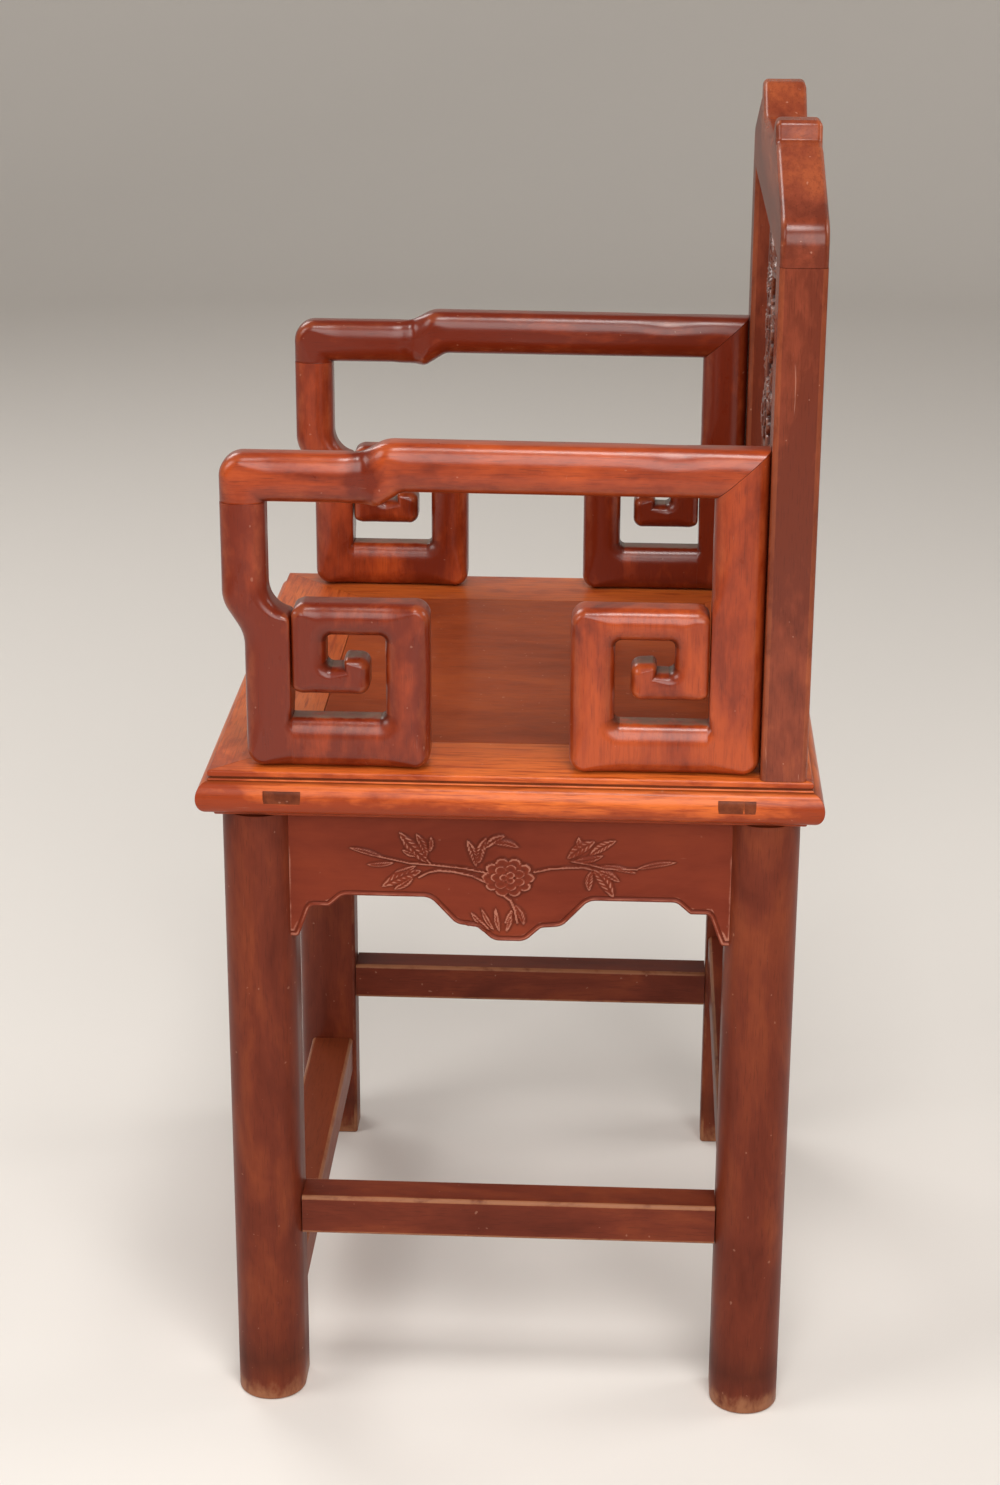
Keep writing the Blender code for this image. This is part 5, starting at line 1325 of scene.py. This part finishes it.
class ARMCHAIR_OT_back(Operator):
    """Make the two stiles and the crest of the back"""

    bl_idname = "armchair.back"
    bl_label = "Back frame"

    def execute(self, context):
        sizes = context.scene.armchair_sizes
        piece = board("dressed_crest_rail", crest_outline(), "XZ", CREST_LOW.y, CREST_HIGH.y,
                      sizes.back_round, "X", sizes, tone=crest_shading)
        finish(piece, "back", "back_wood", "crest_rail")
        for place in SIDES:
            node = f"stile_{place}"
            low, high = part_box(node)
            piece = bar(f"dressed_{node}", "Z", (SEAT_TOP, CREST_LOW.z - FIT),
                        ((low.x + high.x) / 2, (STILE_LOW.y + CREST_HIGH.y) / 2),
                        (high.x - low.x, CREST_HIGH.y - CREST_LOW.y), sizes.back_round, sizes, stile_tone)
            finish(piece, "back", "back_wood", node)
        return {"FINISHED"}


class ARMCHAIR_OT_splat(Operator):
    """Make the carved splat"""

    bl_idname = "armchair.splat"
    bl_label = "Splat"

    def execute(self, context):
        piece = splat("dressed_back_splat", context.scene.armchair_sizes)
        finish(piece, "carved", "carved_wood", "back_splat")
        return {"FINISHED"}


CAMERA_PLACE = (2.1407, 0.0835, 1.2381)
CAMERA_YAW, CAMERA_PITCH, CAMERA_ROLL = (math.radians(a) for a in (2.7252, 19.9942, 0.2511))
CAMERA_LENS = 68.86
SENSOR_HEIGHT = 36
CLIP_START, CLIP_END = 0.02, 60
LAMP_COLOUR, ROOM_COLOUR = (1, 0.985, 0.965), (1, 0.985, 0.97, 1)
AIM = Vector((0, 0, 0.6))
FLOOR_HUB, FLOOR_REACH, FLOOR_CURVE, WALL_HEIGHT = 0.5, 4.2, 1.4, 5.0
FLOOR_STEPS, FLOOR_SIDES = 24, 96
FLOOR_COLOUR, FLOOR_ROUGHNESS = "#E6E1DB", 0.7


class ARMCHAIR_OT_stage(Operator):
    """Make the floor, the lights and the camera"""

    bl_idname = "armchair.stage"
    bl_label = "Stage"

    def execute(self, context):
        scene, stage = context.scene, context.scene.armchair_stage
        scene.view_settings.view_transform = "Standard"
        bowl(FLOOR_REACH, FLOOR_CURVE, WALL_HEIGHT)
        # each light's place, its width and height, and its power
        for name, place, size, power in (
            ("Key light", (2.7, 0.5, 1.95), (2.2, 2.0), stage.key_power),
            ("Top light", (1.0, 0.15, 2.7), (0.6, 0.6), stage.top_power),
            ("Front light", (1.2, -2.4, 2.3), (1.4, 1.4), stage.front_power),
            ("Back light", (-0.5, 2.8, 2.2), (1.4, 1.2), stage.back_power),
            ("Far light", (-2.1, -1.7, 2.5), (1.4, 1.2), stage.far_power),
        ):
            soft_light(name, Vector(place), size, power)
        world = bpy.data.worlds.new("Pale room")
        scene.world = world
        world.use_nodes = True
        back = world.node_tree.nodes["Background"]
        back.inputs["Color"].default_value = ROOM_COLOUR
        back.inputs["Strength"].default_value = stage.sky
        data = bpy.data.cameras.new("Camera")
        camera = bpy.data.objects.new("Camera", data)
        scene.collection.objects.link(camera)
        look = Vector((-math.cos(CAMERA_YAW) * math.cos(CAMERA_PITCH),
                       -math.sin(CAMERA_YAW) * math.cos(CAMERA_PITCH), -math.sin(CAMERA_PITCH)))
        level = Vector((-math.sin(CAMERA_YAW), math.cos(CAMERA_YAW), 0))
        upward = level.cross(look)
        right = level * math.cos(CAMERA_ROLL) + upward * math.sin(CAMERA_ROLL)
        top = -level * math.sin(CAMERA_ROLL) + upward * math.cos(CAMERA_ROLL)
        place = Matrix((right, top, -look)).transposed().to_4x4()
        place.translation = Vector(CAMERA_PLACE)
        camera.matrix_world = place
        data.sensor_fit = "VERTICAL"
        data.sensor_height = SENSOR_HEIGHT
        data.lens = CAMERA_LENS
        data.clip_start, data.clip_end = CLIP_START, CLIP_END
        scene.camera = camera
        return {"FINISHED"}


def soft_light(name, place, size, power):
    """Oblong area light that looks from its place at the chair's middle."""
    data = bpy.data.lights.new(name, "AREA")
    data.shape = "RECTANGLE"
    (data.size, data.size_y), data.energy = size, power
    data.color = LAMP_COLOUR
    light = bpy.data.objects.new(name, data)
    light.location = place
    light.rotation_euler = (AIM - place).to_track_quat("-Z", "Y").to_euler()
    light.visible_camera = False
    bpy.context.scene.collection.objects.link(light)


def bowl(distance, radius, height):
    """Round floor that curves up into a wall: a level line, a quarter circle and an upright line.

    The line is turned about Z, and so the floor meets the same pale wall on every side.
    """
    turn = np.linspace(0, math.pi / 2, FLOOR_STEPS + 1)
    out = np.concatenate(([FLOOR_HUB], distance + radius * np.sin(turn), [distance + radius]))
    up = np.concatenate(([0], radius - radius * np.cos(turn), [height]))
    angle = np.linspace(0, math.tau, FLOOR_SIDES, endpoint=False)
    grid = np.stack((out[:, None] * np.cos(angle), out[:, None] * np.sin(angle),
                     np.broadcast_to(up[:, None], (len(up), len(angle)))), -1)
    faces = tube_faces(len(out), len(angle))[:, ::-1].tolist() + [list(range(len(angle)))]
    mesh = bpy.data.meshes.new("Floor")
    mesh.from_pydata(grid.reshape(-1, 3).tolist(), [], faces)
    mesh.shade_smooth()
    floor = bpy.data.objects.new("Floor", mesh)
    bpy.context.scene.collection.objects.link(floor)
    material = bpy.data.materials.new("Pale painted floor")
    material.use_nodes = True
    shader = material.node_tree.nodes["Principled BSDF"]
    shader.inputs["Base Color"].default_value = linear(FLOOR_COLOUR)
    shader.inputs["Roughness"].default_value = FLOOR_ROUGHNESS
    mesh.materials.append(material)


class ARMCHAIR_PT_panel(Panel):
    """Lists the armchair's pieces, sizes and light"""

    bl_idname = "ARMCHAIR_PT_panel"
    bl_label = "Armchair"
    bl_space_type = "VIEW_3D"
    bl_region_type = "UI"
    bl_category = "Armchair"

    def draw(self, context):
        column = self.layout.column()
        for operator in OPERATORS:
            column.operator(operator.bl_idname, text=operator.bl_label)
        for name in GROUPS:
            group = getattr(context.scene, name)
            for key in group.bl_rna.properties.keys():
                if key not in ("rna_type", "name"):
                    column.prop(group, key)


OPERATORS = (ARMCHAIR_OT_seat, ARMCHAIR_OT_legs, ARMCHAIR_OT_stretchers, ARMCHAIR_OT_aprons,
             ARMCHAIR_OT_arms, ARMCHAIR_OT_back, ARMCHAIR_OT_splat, ARMCHAIR_OT_stage)
GROUPS = {"armchair_sizes": ArmchairSizes, "armchair_colours": ArmchairColours,
          "armchair_stage": ArmchairStage}


def register():
    """Adds the property groups, the operators and the panel."""
    for name, group in GROUPS.items():
        bpy.utils.register_class(group)
        setattr(bpy.types.Scene, name, PointerProperty(type=group))
    for operator in OPERATORS:
        bpy.utils.register_class(operator)
    bpy.utils.register_class(ARMCHAIR_PT_panel)


def unregister():
    """Takes them away again."""
    bpy.utils.unregister_class(ARMCHAIR_PT_panel)
    for operator in reversed(OPERATORS):
        bpy.utils.unregister_class(operator)
    for name, group in GROUPS.items():
        delattr(bpy.types.Scene, name)
        bpy.utils.unregister_class(group)


def main():
    """Makes every piece and the stage."""
    register()
    for operator in OPERATORS:
        group, name = operator.bl_idname.split(".")
        getattr(getattr(bpy.ops, group), name)()


if __name__ == "__main__":
    main()
